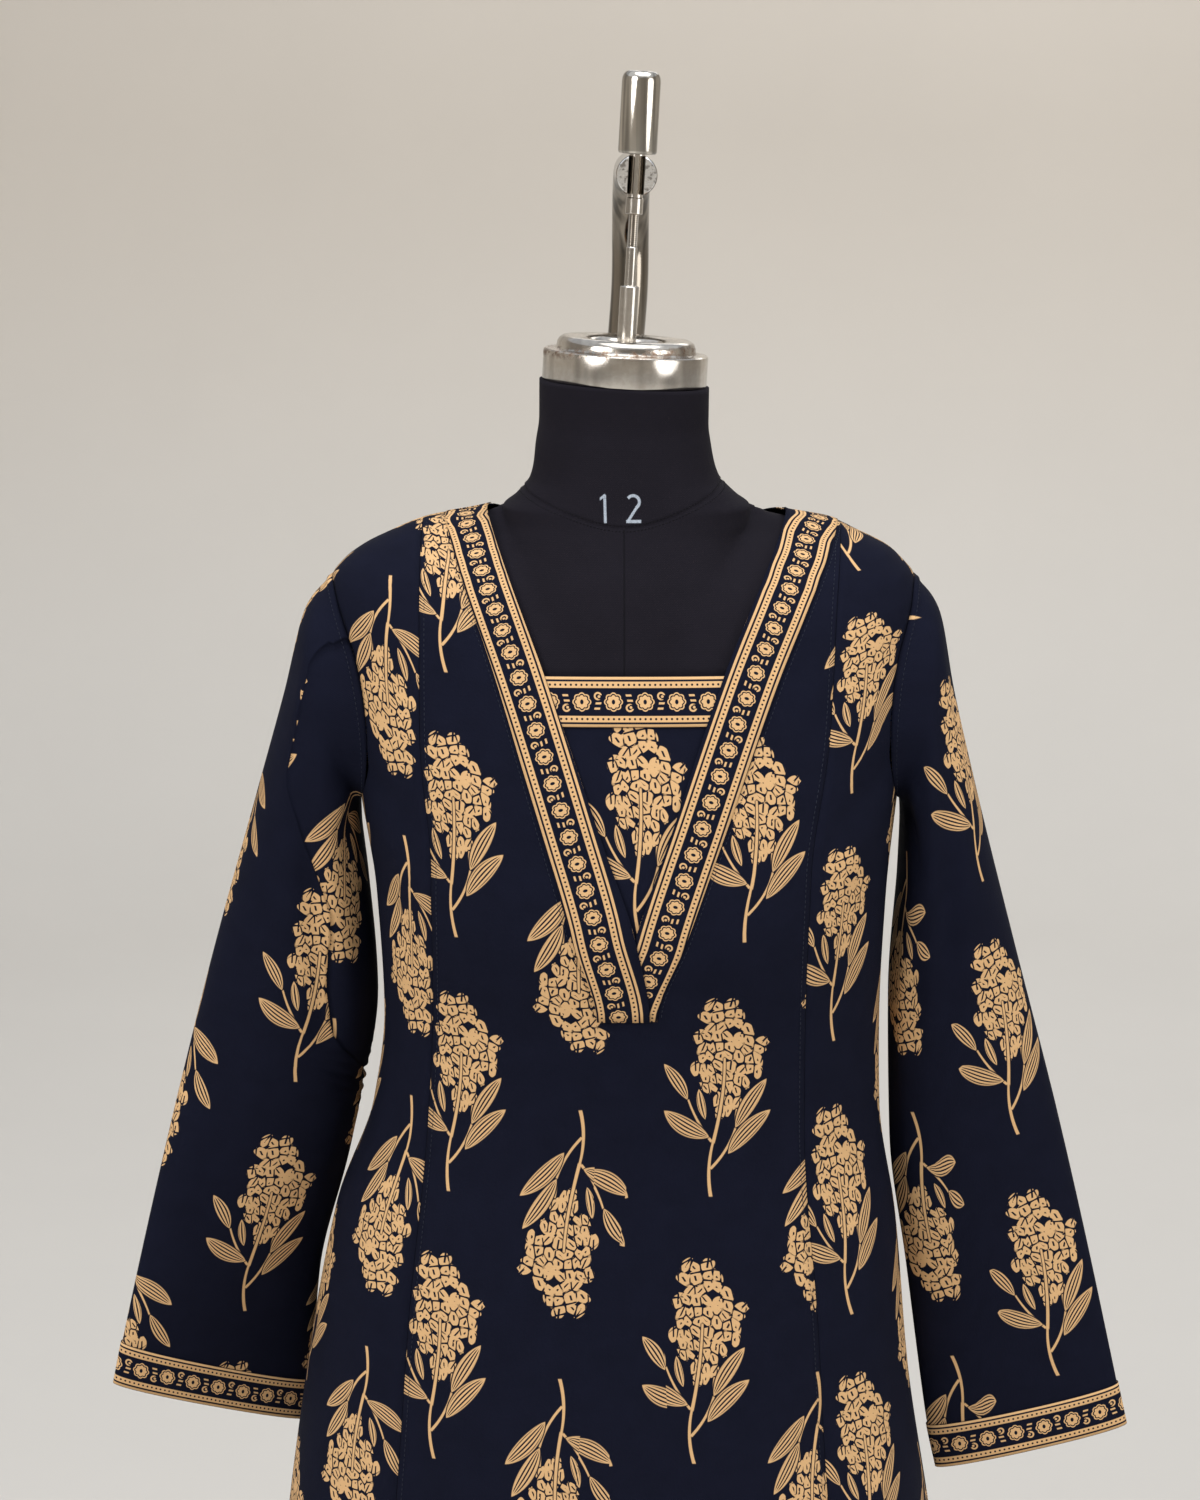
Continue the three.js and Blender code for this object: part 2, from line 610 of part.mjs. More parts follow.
/** The form's section at a height: the smaller of its own and what fits under the cloth. */
function torsoSection(z) {
  const drop = CLOTH + (z > FORM_FIT_Z ? REST_GAP : LOOSE_GAP);
  const fitting = (column) => min(torso(column, z), body(column, z + drop) - drop);
  return { half: fitting('half'), front: fitting('front'), back: fitting('back') };
}

const radiusOf = ({ half, front, back: behind }, angle) => {
  const where = face(angle);
  const n = FULLNESS[where];
  const depth = where === 'back' ? behind : front;
  return ((abs(sin(angle)) / half) ** n + (abs(cos(angle)) / depth) ** n) ** (-1 / n);
};
const neckSection = (z) => ({ half: neck('half', z), front: neck('front', z), back: neck('back', z) });

function formPoint(angle, z) {
  const onNeck = z > NECK_START_Z ? radiusOf(neckSection(z), angle) : 0;
  const onTorso = z < NECK_ONLY_Z ? radiusOf(torsoSection(z), angle) : 0;
  const larger = (onNeck + onTorso + hypot(onNeck - onTorso, onNeck && onTorso ? NECK_BLEND : 0)) / 2;
  const shift = z > NECK_ONLY_Z ? neck('shift', z) : body('shift', z);
  const x = shift + larger * sin(angle);
  const lean = tan(HANG_LEAN) * smoothstep(z, LEAN_START_Z, FORM_TOP_Z);
  return new THREE.Vector3(x, -larger * cos(angle), z - lean * (x - HANG_X));
}

function formSolid() {
  const quarter = FORM_QUARTER.map(degToRad);
  const half = [...quarter, ...quarter.slice(0, -1).reverse().map((angle) => PI - angle)];
  const angles = [...half, ...half.slice(1, -1).reverse().map((angle) => -angle)];
  const points = FORM_LEVELS.flatMap((z) => angles.map((angle) => formPoint(angle, z)));
  const count = angles.length;
  const faces = [];
  for (let j = 0; j < FORM_LEVELS.length - 1; j += 1) {
    for (let i = 0; i < count; i += 1) {
      const [a, b] = [j * count + i, j * count + ((i + 1) % count)];
      faces.push(a, b, b + count, a, b + count, a + count);
    }
  }
  const capFan = (first, flip) => {
    const middle = new THREE.Vector3();
    for (let i = 0; i < count; i += 1) middle.addScaledVector(points[first + i], 1 / count);
    points.push(middle);
    for (let i = 0; i < count; i += 1) {
      const [a, b] = [first + i, first + ((i + 1) % count)];
      faces.push(...(flip ? [b, a] : [a, b]), points.length - 1);
    }
  };
  capFan(0, true);
  capFan((FORM_LEVELS.length - 1) * count, false);
  return solid(points, faces);
}
add('form_torso', formSolid(), COLORS.jersey);

// ---- The steel that carries the form

const turned = (profile, segments) => new THREE.LatheGeometry(
  profile.map(([radius, height]) => new THREE.Vector2(radius, height)),
  segments,
).rotateX(PI / 2);

/** Merges a geometry's shared corners, so that it is one closed body. */
function merged(geometry) {
  const bare = geometry.clone();
  bare.deleteAttribute('normal');
  bare.deleteAttribute('uv');
  return mergeVertices(bare, STEP);
}

const hang = new THREE.Group();
hang.position.set(HANG_X, 0, FORM_TOP_Z);
hang.rotation.y = HANG_LEAN;
group.add(hang);

const capProfile = [
  [0, SEAM],
  [CAP.radius - CAP.edge, SEAM],
  [CAP.radius, SEAM + CAP.edge],
  [CAP.radius, CAP.height - CAP.edge],
  [CAP.radius - CAP.edge, CAP.height],
  [CAP.ring + CAP.cove, CAP.height],
  [CAP.ring, CAP.height + CAP.cove],
  [CAP.ring, CAP.ringHeight - CAP.ringEdge],
  [CAP.ring - CAP.ringEdge, CAP.ringHeight],
  [DISH.radius + DISH.slope, CAP.ringHeight - DISH.fall],
  [DISH.radius, CAP.ringHeight - DISH.lip],
  [DISH.radius - DISH.slope, DISH.floor],
  [0, DISH.floor],
];
add('neck_cap', turned(capProfile, TURNED_SIDES.cap), COLORS.steel, hang);

const rodStart = DISH.floor + SEAM;
const rodProfile = [[0, rodStart]];
let below = rodStart;
for (const { radius, top } of Object.values(ROD)) {
  rodProfile.push([radius, below], [radius, top]);
  below = top;
}
rodProfile.push([0, below]);
add('hanging_rod', turned(rodProfile, TURNED_SIDES.rod), COLORS.steel, hang);

const knobStart = ROD.head.top + SEAM;
const knobProfile = [
  [0, knobStart],
  [KNOB.radius - KNOB.edge, knobStart],
  [KNOB.radius, knobStart + KNOB.edge],
];
for (let i = 0; i <= KNOB.steps; i += 1) {
  const turn = (i / KNOB.steps) * SIDE;
  const flat = (KNOB.radius - KNOB.round) * (1 - i / KNOB.steps);
  knobProfile.push([flat + KNOB.round * cos(turn), knobStart + KNOB.height - KNOB.round * (1 - sin(turn))]);
}
add('knob', turned(knobProfile, TURNED_SIDES.knob), COLORS.darkSteel, hang);

/** The pole's middle line: straight up, leaning with the form at its head, then bent forward. */
function poleCurve() {
  const { y, straightTop, crookZ, bend } = POLE;
  const at = (...values) => new THREE.Vector3(...values);
  const path = new THREE.CurvePath();
  path.add(new THREE.LineCurve3(at(0, y, BASE.height + SEAM), at(0, y, straightTop)));
  path.add(new THREE.CubicBezierCurve3(
    at(0, y, straightTop),
    at(0, y, straightTop + bend),
    at(ARM.startX, y, crookZ - LEAN_PULL * bend),
    at(ARM.startX, y, crookZ - bend),
  ));
  path.add(new THREE.CubicBezierCurve3(
    at(ARM.startX, y, crookZ - bend),
    at(ARM.startX, y, crookZ - bend * ARC_PULL),
    at(ARM.startX, y - bend * (1 - ARC_PULL), crookZ),
    at(ARM.x, y - bend, crookZ),
  ));
  path.add(new THREE.LineCurve3(at(ARM.x, y - bend, crookZ), at(ARM.x, ARM.endY, crookZ)));
  return path;
}

/** The bent pole, with a slot through its end that lets the rod in. */
async function crookPole() {
  const wasm = await Module();
  wasm.setup();
  const manifold = (geometry) => new wasm.Manifold(new wasm.Mesh({
    numProp: 3,
    vertProperties: geometry.attributes.position.array,
    triVerts: new Uint32Array(geometry.index.array),
  }));
  const path = poleCurve();
  const rings = [];
  path.curves.forEach((curve, part) => {
    const steps = POLE_STEPS[part];
    for (let i = part ? 1 : 0; i <= steps; i += 1) {
      rings.push({ middle: curve.getPoint(i / steps), along: curve.getTangent(i / steps) });
    }
  });
  const points = [];
  const across = new THREE.Vector3(1, 0, 0);
  for (const { middle, along } of rings) {
    const side = across.clone().addScaledVector(along, -across.dot(along)).normalize();
    const up = side.clone().cross(along);
    for (let i = 0; i < POLE_SIDES; i += 1) {
      const turn = (2 * PI * i) / POLE_SIDES;
      const spoke = side.clone().multiplyScalar(cos(turn)).addScaledVector(up, sin(turn));
      points.push(middle.clone().addScaledVector(spoke, POLE.radius));
    }
  }
  const faces = [];
  for (let j = 0; j < rings.length - 1; j += 1) {
    for (let i = 0; i < POLE_SIDES; i += 1) {
      const [a, b] = [j * POLE_SIDES + i, j * POLE_SIDES + ((i + 1) % POLE_SIDES)];
      faces.push(a, b + POLE_SIDES, b, a, a + POLE_SIDES, b + POLE_SIDES);
    }
  }
  const last = (rings.length - 1) * POLE_SIDES;
  for (let i = 1; i < POLE_SIDES - 1; i += 1) faces.push(0, i, i + 1, last, last + i + 1, last + i);
  const slotLength = SLOT.back - SLOT.front;
  const slot = new THREE.BoxGeometry(SLOT.width, slotLength, SLOT.height)
    .rotateY(HANG_LEAN)
    .translate(HANG_X + tan(HANG_LEAN) * (POLE.crookZ - FORM_TOP_Z), SLOT.back - slotLength / 2, POLE.crookZ);
  const cut = manifold(solid(points, faces)).subtract(manifold(merged(slot))).getMesh();
  const geometry = new THREE.BufferGeometry();
  geometry.setAttribute('position', new THREE.BufferAttribute(cut.vertProperties, 3));
  geometry.setIndex(new THREE.BufferAttribute(cut.triVerts, 1));
  return geometry;
}
add('crook_pole', await crookPole(), COLORS.darkSteel);

const collarInner = POLE.radius + 2 * SEAM;
const collarProfile = [
  [collarInner, 0],
  [COLLAR.radius, 0],
  [COLLAR.radius, COLLAR.height - COLLAR.edge],
  [COLLAR.radius - COLLAR.edge, COLLAR.height],
  [collarInner, COLLAR.height],
  [collarInner, 0],
];
const collar = add('pole_collar', turned(collarProfile, TURNED_SIDES.collar), COLORS.darkSteel);
collar.position.set(0, POLE.y, BASE.height + SEAM);

function baseOutline() {
  const { width, front, back: rear, corner, edge } = BASE;
  const [left, right, low, high] = [-width / 2 + edge, width / 2 - edge, front + edge, rear - edge];
  const outline = new THREE.Shape();
  outline.moveTo(left + corner, low);
  outline.lineTo(right - corner, low);
  outline.absarc(right - corner, low + corner, corner, -SIDE, 0);
  outline.absarc(right - corner, high - corner, corner, 0, SIDE);
  outline.absarc(left + corner, high - corner, corner, SIDE, PI);
  outline.absarc(left + corner, low + corner, corner, PI, PI + SIDE);
  return outline;
}
const base = new THREE.ExtrudeGeometry(baseOutline(), {
  depth: BASE.height - 2 * BASE.edge,
  bevelEnabled: true,
  bevelSize: BASE.edge,
  bevelThickness: BASE.edge,
  bevelSegments: 1,
  curveSegments: 4,
});
add('base_plate', base, COLORS.darkSteel).position.z = BASE.edge;

export default group;
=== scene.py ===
"""An a-line kurta of block-printed cotton on a limbless jersey dress form, hung from a crook-topped steel pole."""

from functools import partial
from math import cos, pi, radians, sin, tan

import bmesh
import bpy
import numpy as np
from bpy.props import FloatProperty, FloatVectorProperty, IntProperty, PointerProperty
from mathutils import Matrix, Vector


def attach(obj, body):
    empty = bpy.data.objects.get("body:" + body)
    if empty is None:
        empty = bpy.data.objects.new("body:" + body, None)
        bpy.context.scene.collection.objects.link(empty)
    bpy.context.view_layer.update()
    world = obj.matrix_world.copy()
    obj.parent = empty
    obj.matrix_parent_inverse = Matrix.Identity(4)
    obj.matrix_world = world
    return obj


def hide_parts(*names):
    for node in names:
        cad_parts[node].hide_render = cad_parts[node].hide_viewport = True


bl_info = {
    "name": "Printed kurta on a dress form",
    "version": (1, 0, 0),
    "blender": (4, 5, 0),
    "location": "3D View > Sidebar > Kurta",
    "description": "Dresses the packed kurta, dress form and stand with fine surfaces and materials",
    "category": "Object",
}

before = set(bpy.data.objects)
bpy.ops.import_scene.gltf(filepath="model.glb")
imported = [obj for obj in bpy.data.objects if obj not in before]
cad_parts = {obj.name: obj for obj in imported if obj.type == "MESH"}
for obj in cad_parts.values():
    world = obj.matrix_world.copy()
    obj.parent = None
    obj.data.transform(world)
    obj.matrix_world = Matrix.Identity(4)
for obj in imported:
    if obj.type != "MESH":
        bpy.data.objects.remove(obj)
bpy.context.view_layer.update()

# ---- Sizes, in millimetres; everything is scaled to metres when a mesh is made

MM = 0.001
HEM_Z = 290.0
UNDERARM_Z = 1225.0
SHOULDER_TIP_Z = 1369.0
V_POINT_Z = 1160.0
V_END_Z = 1105.0
INSET_TOP_Z = 1319.0
BAND = 30.0
BACK_NECK_Z = 1388.0
SHOULDER_Z = 1405.0
SEAM = 0.3
STEP = 1e-3
LEFT, RIGHT = -1, 1


class Table:
    """Named columns read at any place between the rows, along a curve that doesn't overshoot them."""

    def __init__(self, columns, rows):
        data = np.array(sorted(rows), float)
        self.places = data[:, 0]
        self.steps = np.diff(self.places)
        self.columns = {name: self._column(data[:, i]) for i, name in enumerate(columns) if i}

    def _column(self, values):
        rises = np.diff(values) / self.steps
        before, after = np.r_[rises[:1], rises], np.r_[rises, rises[-1:]]
        product = before * after
        safe = np.where(product > 0, before + after, 1.0)
        return values, np.where(product > 0, 2 * product / safe, 0.0)

    def __call__(self, column, at):
        values, slopes = self.columns[column]
        place = np.clip(at, self.places[0], self.places[-1])
        i = np.clip(np.searchsorted(self.places, place) - 1, 0, len(self.steps) - 1)
        t = (place - self.places[i]) / self.steps[i]
        ease = t * t * (3 - 2 * t)
        bulge = t * (1 - t) * self.steps[i]
        return values[i] + (values[i + 1] - values[i]) * ease + bulge * ((1 - t) * slopes[i] - t * slopes[i + 1])


BODY = Table(("z", "half", "front", "back", "shift"), [
    (1414, 84, 12, 22, 1),
    (1411, 97, 18, 30, 1),
    (1405, 130, 32, 46, 1),
    (1396, 151, 45, 58, 0),
    (1387, 169, 56, 68, 0),
    (1378, 180, 65, 76, -1),
    (1369, 187, 73, 83, -1),
    (1350, 190, 85, 93, 0),
    (1319, 186, 98, 103, 1),
    (1280, 181, 111, 109, 2),
    (1225, 174, 124, 110, 3),
    (1160, 166.5, 132, 104, 4.5),
    (1082, 163.5, 119, 96, 5),
    (1015, 168.5, 117, 100, 1.5),
    (942, 187.3, 123, 118, -5.8),
    (813, 206, 134, 135, -11),
    (724, 220, 141, 145, -10),
    (500, 250, 158, 160, -8),
    (HEM_Z, 282, 172, 172, -6),
])

# Flutes of the skirt: angle round the hem, width and depth there, and the height where they start.
FLUTES = (
    (-118, 15, 13, 780), (-66, 11, 12, 840), (-31, 13, 8, 640), (14, 12, 7, 600), (52, 12, 12, 860),
    (84, 10, 9, 700), (121, 14, 12, 760), (160, 13, 9, 660), (203, 14, 10, 720),
)
FLUTE_TROUGH = 0.35

VEE = Table(("z", "innerLeft", "innerRight", "outerLeft", "outerRight"), [
    (1411, -88, 103.5, -116, 139),
    (SHOULDER_Z, -85.5, 100.7, -114, 136.5),
    (INSET_TOP_Z, -50.2, 60.8, -81.4, 97.4),
    (1216, -13.4, 25, -49.6, 58.2),
    (V_POINT_Z, 5.6, 5.6, -33.3, 38.2),
    (V_END_Z, 15, -9, -17.9, 19.5),
    (HEM_Z, 15, -9, -76, 64),
])
PRINCESS = Table(("z", "left", "right"), [
    (SHOULDER_Z, -129.5, 138),
    (1357, -129, 132.2),
    (1277, -128.3, 127),
    (1195, -121.4, 115.5),
    (1115, -121.7, 113.5),
    (1030, -126, 114),
    (900, -139, 124),
    (812, -146, 130),
    (500, -172, 158),
    (HEM_Z, -190, 178),
])
ARMHOLE_DEPTH = 0.53
ARMHOLE_ROUNDNESS = 1.5

SLEEVE_COLUMNS = ("section", "outerX", "outerZ", "innerX", "innerZ", "depth", "y", "twist")
SLEEVE = {
    RIGHT: Table(SLEEVE_COLUMNS, [
        (0, 186, 1369, 177.4, 1225.4, 56, 0, 0),
        (1, 202, 1348, 180.5, 1219, 58, 0, 0),
        (2, 213.5, 1293, 181.5, 1203, 59, -1, 0),
        (3, 230, 1226, 180, 1168, 55, -2, 0),
        (4, 257, 1125, 175, 1092, 43, -4, 0),
        (5, 288.5, 1010, 177.5, 992, 29, -5, 0),
        (6, 312, 915, 190.5, 900, 20, -6, 2),
        (7, 334.5, 817, 207.5, 783, 11, -8, 4),
        (8, 341.5, 787, 214.5, 752, 9, -8, 4),
    ]),
    LEFT: Table(SLEEVE_COLUMNS, [
        (0, -188, 1369, -171.4, 1225.4, 56, 0, 0),
        (1, -205, 1349, -173, 1219, 58, 0, 0),
        (2, -221, 1291, -172.5, 1203, 59, -1, 0),
        (3, -240.5, 1224, -168.5, 1168, 55, -1, 0),
        (4, -269.5, 1124, -163.5, 1090, 43, -1, 4),
        (5, -299.5, 1010, -183.5, 980, 29, 2, 14),
        (6, -321, 922, -208.5, 882, 20, 8, 24),
        (7, -337.5, 850, -217, 795, 11, 12, 33),
        (8, -344, 820, -221.5, 764, 9, 14, 34),
    ]),
}
SECTIONS = 8
CUFF_SECTION = 7
CAP_SHARE = 0.16
CAP_PUFF = 1.2  # how much the cap swells beside its seam
SLEEVE_FULLNESS = 2.2
SLEEVE_GAP = 0.45

# Creases in the sleeves: x at their top and foot, the stretch of z, half width, depth and the face they are on.
CREASES = {
    RIGHT: (
        (203, 211, 1335, 1060, 9, 5, -1),
        (226, 252, 1215, 1010, 12, 3, 1),
    ),
    LEFT: (
        (-205, -196, 1290, 1030, 9, 4, -1),
        (-228, -262, 1200, 1000, 12, 3, 1),
    ),
}
CREASE_ENDS = 0.7

# Soft folds of the body: x and z where they start and end, half width and depth (below 0 is a valley).
FRONT_FOLDS = (
    (-172, 1262, -128, 1212, 7, -2.2),
    (-168, 1240, -118, 1165, 9, 1.8),
    (-158, 1190, -128, 1120, 8, -1.6),
    (172, 1268, 130, 1214, 7, -2.4),
    (168, 1240, 122, 1168, 9, 2.0),
    (158, 1196, 130, 1108, 8, -1.8),
    (-150, 1040, -176, 780, 13, 2.4),
    (-128, 900, -150, 560, 15, -2.6),
    (150, 1010, 176, 690, 12, 2.6),
    (120, 880, 146, 520, 15, -2.4),
    (-62, 880, -80, 470, 20, 2.2),
    (38, 1010, 46, 600, 20, -1.8),
    (78, 1000, 96, 640, 16, 2.0),
    (-20, 760, -24, 420, 18, -2.0),
    (-96, 1392, -110, 1300, 12, 0.9),
    (118, 1388, 116, 1290, 12, 0.9),
)
BACK_FOLDS = (
    (-165, 1262, -110, 1190, 9, -2.4),
    (165, 1258, 118, 1186, 9, -2.2),
    (-150, 1200, -70, 1110, 11, 2.4),
    (150, 1196, 82, 1104, 11, 2.2),
    (-60, 1120, -84, 800, 18, 2.6),
    (46, 1130, 60, 760, 18, -2.2),
    (-20, 1040, -24, 620, 17, -2.4),
    (96, 1060, 118, 640, 16, 2.6),
    (-124, 980, -150, 560, 15, -2.2),
    (0, 700, 6, 380, 20, 2.4),
    (0, 1375, 0, 1290, 26, -1.2),
)

FORM_TOP_Z = 1491.0
TORSO = Table(("z", "half", "front", "back"), [
    (1414, 84, 8, 18),
    (1409, 89, 14, 23),
    (1405, 106, 21, 33),
    (1396, 141, 38, 50),
    (1387, 167, 56, 68),
    (1369, 190, 80, 88),
    (1340, 181, 92, 96),
    (1300, 173, 104, 103),
    (1225, 163, 121, 105),
    (1160, 164, 129, 98),
    (1082, 128, 92, 78),
    (1000, 158, 98, 92),
    (900, 178, 108, 112),
    (800, 176, 106, 112),
    (716, 166, 98, 104),
])
NECK = Table(("z", "half", "front", "back", "shift"), [
    (1491, 54, 52, 50, -0.6),
    (1468, 54, 52, 50, -0.8),
    (1453, 56, 54, 51, -1),
    (1440, 58, 56, 52, -0.5),
    (1431, 61, 57.5, 53, 0),
    (1425, 66, 58.5, 54, 0.4),
    (1420, 71, 59.5, 53, 0.8),
    (1413, 79, 61, 53, 1),
    (1406, 79, 63, 53, 1),
    (1387, 80, 72, 55, 0),
    (1369, 84, 81, 63, -1),
    (1345, 92, 88, 74, 0),
    (1319, 100, 91, 86, 1),
    (1280, 95, 80, 80, 2),
])
NECK_BLEND = 4.0
NECK_START_Z = 1285.0
NECK_ONLY_Z = 1413.0
LEAN_START_Z = 1420.0
FORM_FIT_Z = 1320.0
CLOTH_WALL = 1.5
REST_GAP = 1.0
LOOSE_GAP = 2.5

HANG_LEAN = radians(3.2)
HANG_X = -0.6
POLE_RADIUS = 13.0
POLE_Y = 230.0
POLE_TOP = 1440.0
CROOK_Z = 1621.0
BEND = 62.0
ARM_START_X, ARM_X, ARM_END_Y = 5.4, 6.9, -12.0
BASE_TOP = 10.0

# ---- The cloth's surface, as arrays

SIDE = pi / 2
FULLNESS = {"front": 2.5, "back": 2.3}


def power(value, n):
    return np.sign(value) * np.abs(value) ** n


def smoothstep(value, low, high):
    t = np.clip((value - low) / (high - low), 0, 1)
    return t * t * (3 - 2 * t)


def lerp(a, b, t):
    return a + (b - a) * t


def flute_depth(angle, z):
    """How far the skirt's flutes move the cloth outwards at this angle and height."""
    depth = 0
    for at, width, deep, top in FLUTES:
        across = ((angle - radians(at) + pi) % (2 * pi) - pi) / radians(width)
        dip = FLUTE_TROUGH * np.exp(-((np.abs(across) - 2) ** 2))
        depth = depth + deep * smoothstep(top - z, 0, top - HEM_Z) * (np.exp(-across * across) - dip)
    return depth


def body_point(angle, z):
    """Points of the kurta's body: the angle is 0 in front, a quarter turn at the viewer's right."""
    behind = np.abs(angle) > SIDE
    n = 2 / np.where(behind, FULLNESS["back"], FULLNESS["front"])
    x = BODY("half", z) * power(np.sin(angle), n)
    y = -np.where(behind, BODY("back", z), BODY("front", z)) * power(np.cos(angle), n)
    swell = 1 + flute_depth(angle, z) / np.hypot(x, y)
    return np.stack([BODY("shift", z) + x * swell, y * swell, z + 0 * x], axis=-1)


def angle_at(x, z, where="front"):
    across = np.clip((x - BODY("shift", z)) / BODY("half", z), -1, 1)
    angle = np.arcsin(np.abs(across) ** (FULLNESS[where] / 2))
    return np.where(across < 0, -1, 1) * (pi - angle if where == "back" else angle)


def edge_angle(side, z, where):
    angle = np.arccos((SEAM / 2 / BODY(where, z)) ** (FULLNESS[where] / 2))
    return side * (pi - angle if where == "back" else angle)


def square_to(point, a, b):
    along = point(a + STEP, b) - point(a - STEP, b)
    down = point(a, b + STEP) - point(a, b - STEP)
    normal = np.cross(along, down)
    return normal / np.linalg.norm(normal, axis=-1, keepdims=True)


def ridge_at(x):
    """The height of the shoulder ridge at this x."""
    half = abs(x - float(BODY("shift", SHOULDER_Z)))
    low, high = 1350.0, 1414.0
    while high - low > STEP:
        middle = (low + high) / 2
        if float(BODY("half", middle)) > half:
            low = middle
        else:
            high = middle
    return low


def armhole(side, turn, where=None):
    """Angle and height of the armhole's edge: the turn runs from the shoulder tip over the front."""
    z = lerp(UNDERARM_Z, SHOULDER_TIP_Z, (1 + np.cos(turn)) / 2)
    behind = np.mod(turn, 2 * pi) > pi if where is None else np.full(np.shape(turn), where == "back")
    fullness = np.where(behind, FULLNESS["back"], FULLNESS["front"])
    cut = ARMHOLE_DEPTH**fullness * np.abs(np.sin(turn)) ** ARMHOLE_ROUNDNESS
    angle = np.arcsin(np.sqrt(1 - cut))
    front = np.minimum(angle, edge_angle(1, z, "front"))
    back = np.maximum(pi - angle, edge_angle(1, z, "back"))
    return side * np.where(behind, back, front), z


def fold_relief(points, folds):
    """Height of the soft folds at these points: ridges above 0 and valleys below."""
    height = 0
    for x0, z0, x1, z1, width, depth in folds:
        along = np.array([x1 - x0, z1 - z0], float)
        length = np.hypot(*along)
        along /= length
        dx, dz = points[..., 0] - x0, points[..., 2] - z0
        t = (dx * along[0] + dz * along[1]) / length
        across = (dx * -along[1] + dz * along[0]) / width
        height = height + depth * np.clip(np.sin(pi * np.clip(t, 0, 1)), 0, 1) ** 0.8 * np.exp(-across * across)
    return height


def on_body(angle, z, lift=0.0):
    """Points of the body's cloth with its folds, and the directions out of it."""
    points = body_point(angle, z)
    normals = square_to(body_point, angle, z)
    behind = points[..., 1] > 0
    relief = np.where(behind, fold_relief(points, BACK_FOLDS), fold_relief(points, FRONT_FOLDS))
    calm = smoothstep(np.abs(points[..., 1]), 2, 30)
    return points + normals * (relief * calm + lift)[..., None], normals


def crease_depth(side, points, middle):
    depth = 0
    for top_x, foot_x, top, foot, width, deep, face in CREASES[side]:
        down = (top - points[..., 2]) / (top - foot)
        live = (down > 0) & (down < 1) & ((points[..., 1] - middle) * face >= 0)
        across = (points[..., 0] - lerp(top_x, foot_x, down)) / width
        run = np.sin(pi * np.clip(down, 0, 1)) ** CREASE_ENDS
        depth = depth + np.where(live, deep * run * np.exp(-across * across), 0)
    return depth


def off_armhole(side, turn):
    along = body_point(*armhole(side, turn + STEP)) - body_point(*armhole(side, turn - STEP))
    angle, z = armhole(side, turn)
    off = np.cross(square_to(body_point, angle, z), along) * side
    return off / np.linalg.norm(off, axis=-1, keepdims=True)


def sleeve_point(side, turn, section):
    table = SLEEVE[side]

    def ring(place):
        outer = np.stack([table("outerX", place), -table("twist", place), table("outerZ", place)], -1)
        inner = np.stack([table("innerX", place), table("twist", place), table("innerZ", place)], -1)
        reach = (1 + power(np.cos(turn), 2 / SLEEVE_FULLNESS)) / 2
        points = inner + (outer - inner) * reach[..., None]
        points[..., 1] += table("y", place) - table("depth", place) * power(np.sin(turn), 2 / SLEEVE_FULLNESS)
        return points

    points = ring(section)
    share = np.clip(1 - section / (CAP_SHARE * SECTIONS), 0, 1) ** 2
    seam = body_point(*armhole(side, turn)) + off_armhole(side, turn) * SLEEVE_GAP
    points = points + (seam - ring(0 * section)) * share[..., None]
    middle = table("y", section)
    points[..., 1] += crease_depth(side, points, middle) * np.sign(middle - points[..., 1])
    return points


# Soft folds of the sleeves: turn and section where they start and end, half width in radians, and depth.
SLEEVE_FOLDS = {
    RIGHT: (
        (2.5, 0.5, 2.1, 2.2, 0.16, 2.4), (2.75, 1.2, 2.2, 3.1, 0.14, -2.6), (2.3, 2.9, 2.6, 4.6, 0.2, 2.0),
        (1.2, 4.2, 1.5, 6.6, 0.26, 1.4), (0.8, 0.8, 1.0, 2.6, 0.2, 1.2), (3.9, 0.6, 4.3, 2.6, 0.2, 2.4),
        (4.4, 1.4, 4.0, 3.6, 0.2, -2.4), (5.0, 3.0, 4.7, 5.8, 0.3, 1.8), (2.9, 4.0, 2.7, 6.2, 0.2, -1.6),
    ),
    LEFT: (
        (2.45, 0.6, 2.05, 2.4, 0.16, 2.4), (2.7, 1.1, 2.25, 3.2, 0.14, -2.4), (2.1, 3.0, 2.45, 4.9, 0.2, 2.2),
        (1.0, 3.6, 1.3, 6.2, 0.26, -1.4), (0.9, 1.0, 1.1, 2.8, 0.2, 1.4), (3.8, 0.8, 4.2, 2.8, 0.2, 2.2),
        (4.5, 1.5, 4.1, 3.8, 0.2, -2.2), (5.1, 3.2, 4.8, 6.0, 0.3, 1.8), (2.85, 3.8, 2.6, 6.0, 0.2, -1.8),
    ),
}


def sleeve_relief(side, turn, section):
    height = 0
    for t0, s0, t1, s1, width, depth in SLEEVE_FOLDS[side]:
        down = (section - s0) / (s1 - s0)
        across = (turn - lerp(t0, t1, down)) / width
        height = height + depth * np.sin(pi * np.clip(down, 0, 1)) ** 0.8 * np.exp(-across * across)
    return height * smoothstep(section, 0, 0.5) * (1 - smoothstep(section, 6.2, 7))


def on_sleeve(side, turn, section, lift=0.0):
    def below(a, b):
        return sleeve_point(side, a, np.maximum(b, 0))

    normals = square_to(below, turn, section) * side
    points = sleeve_point(side, turn, section)
    puff = CAP_PUFF * np.exp(-((section - 0.12) / 0.1) ** 2) * (1 + np.cos(turn)) / 2
    return points + normals * (sleeve_relief(side, turn, section) + puff + lift)[..., None], normals


# ---- Rows and edges of the cut pieces

UPPER_ROWS = 44


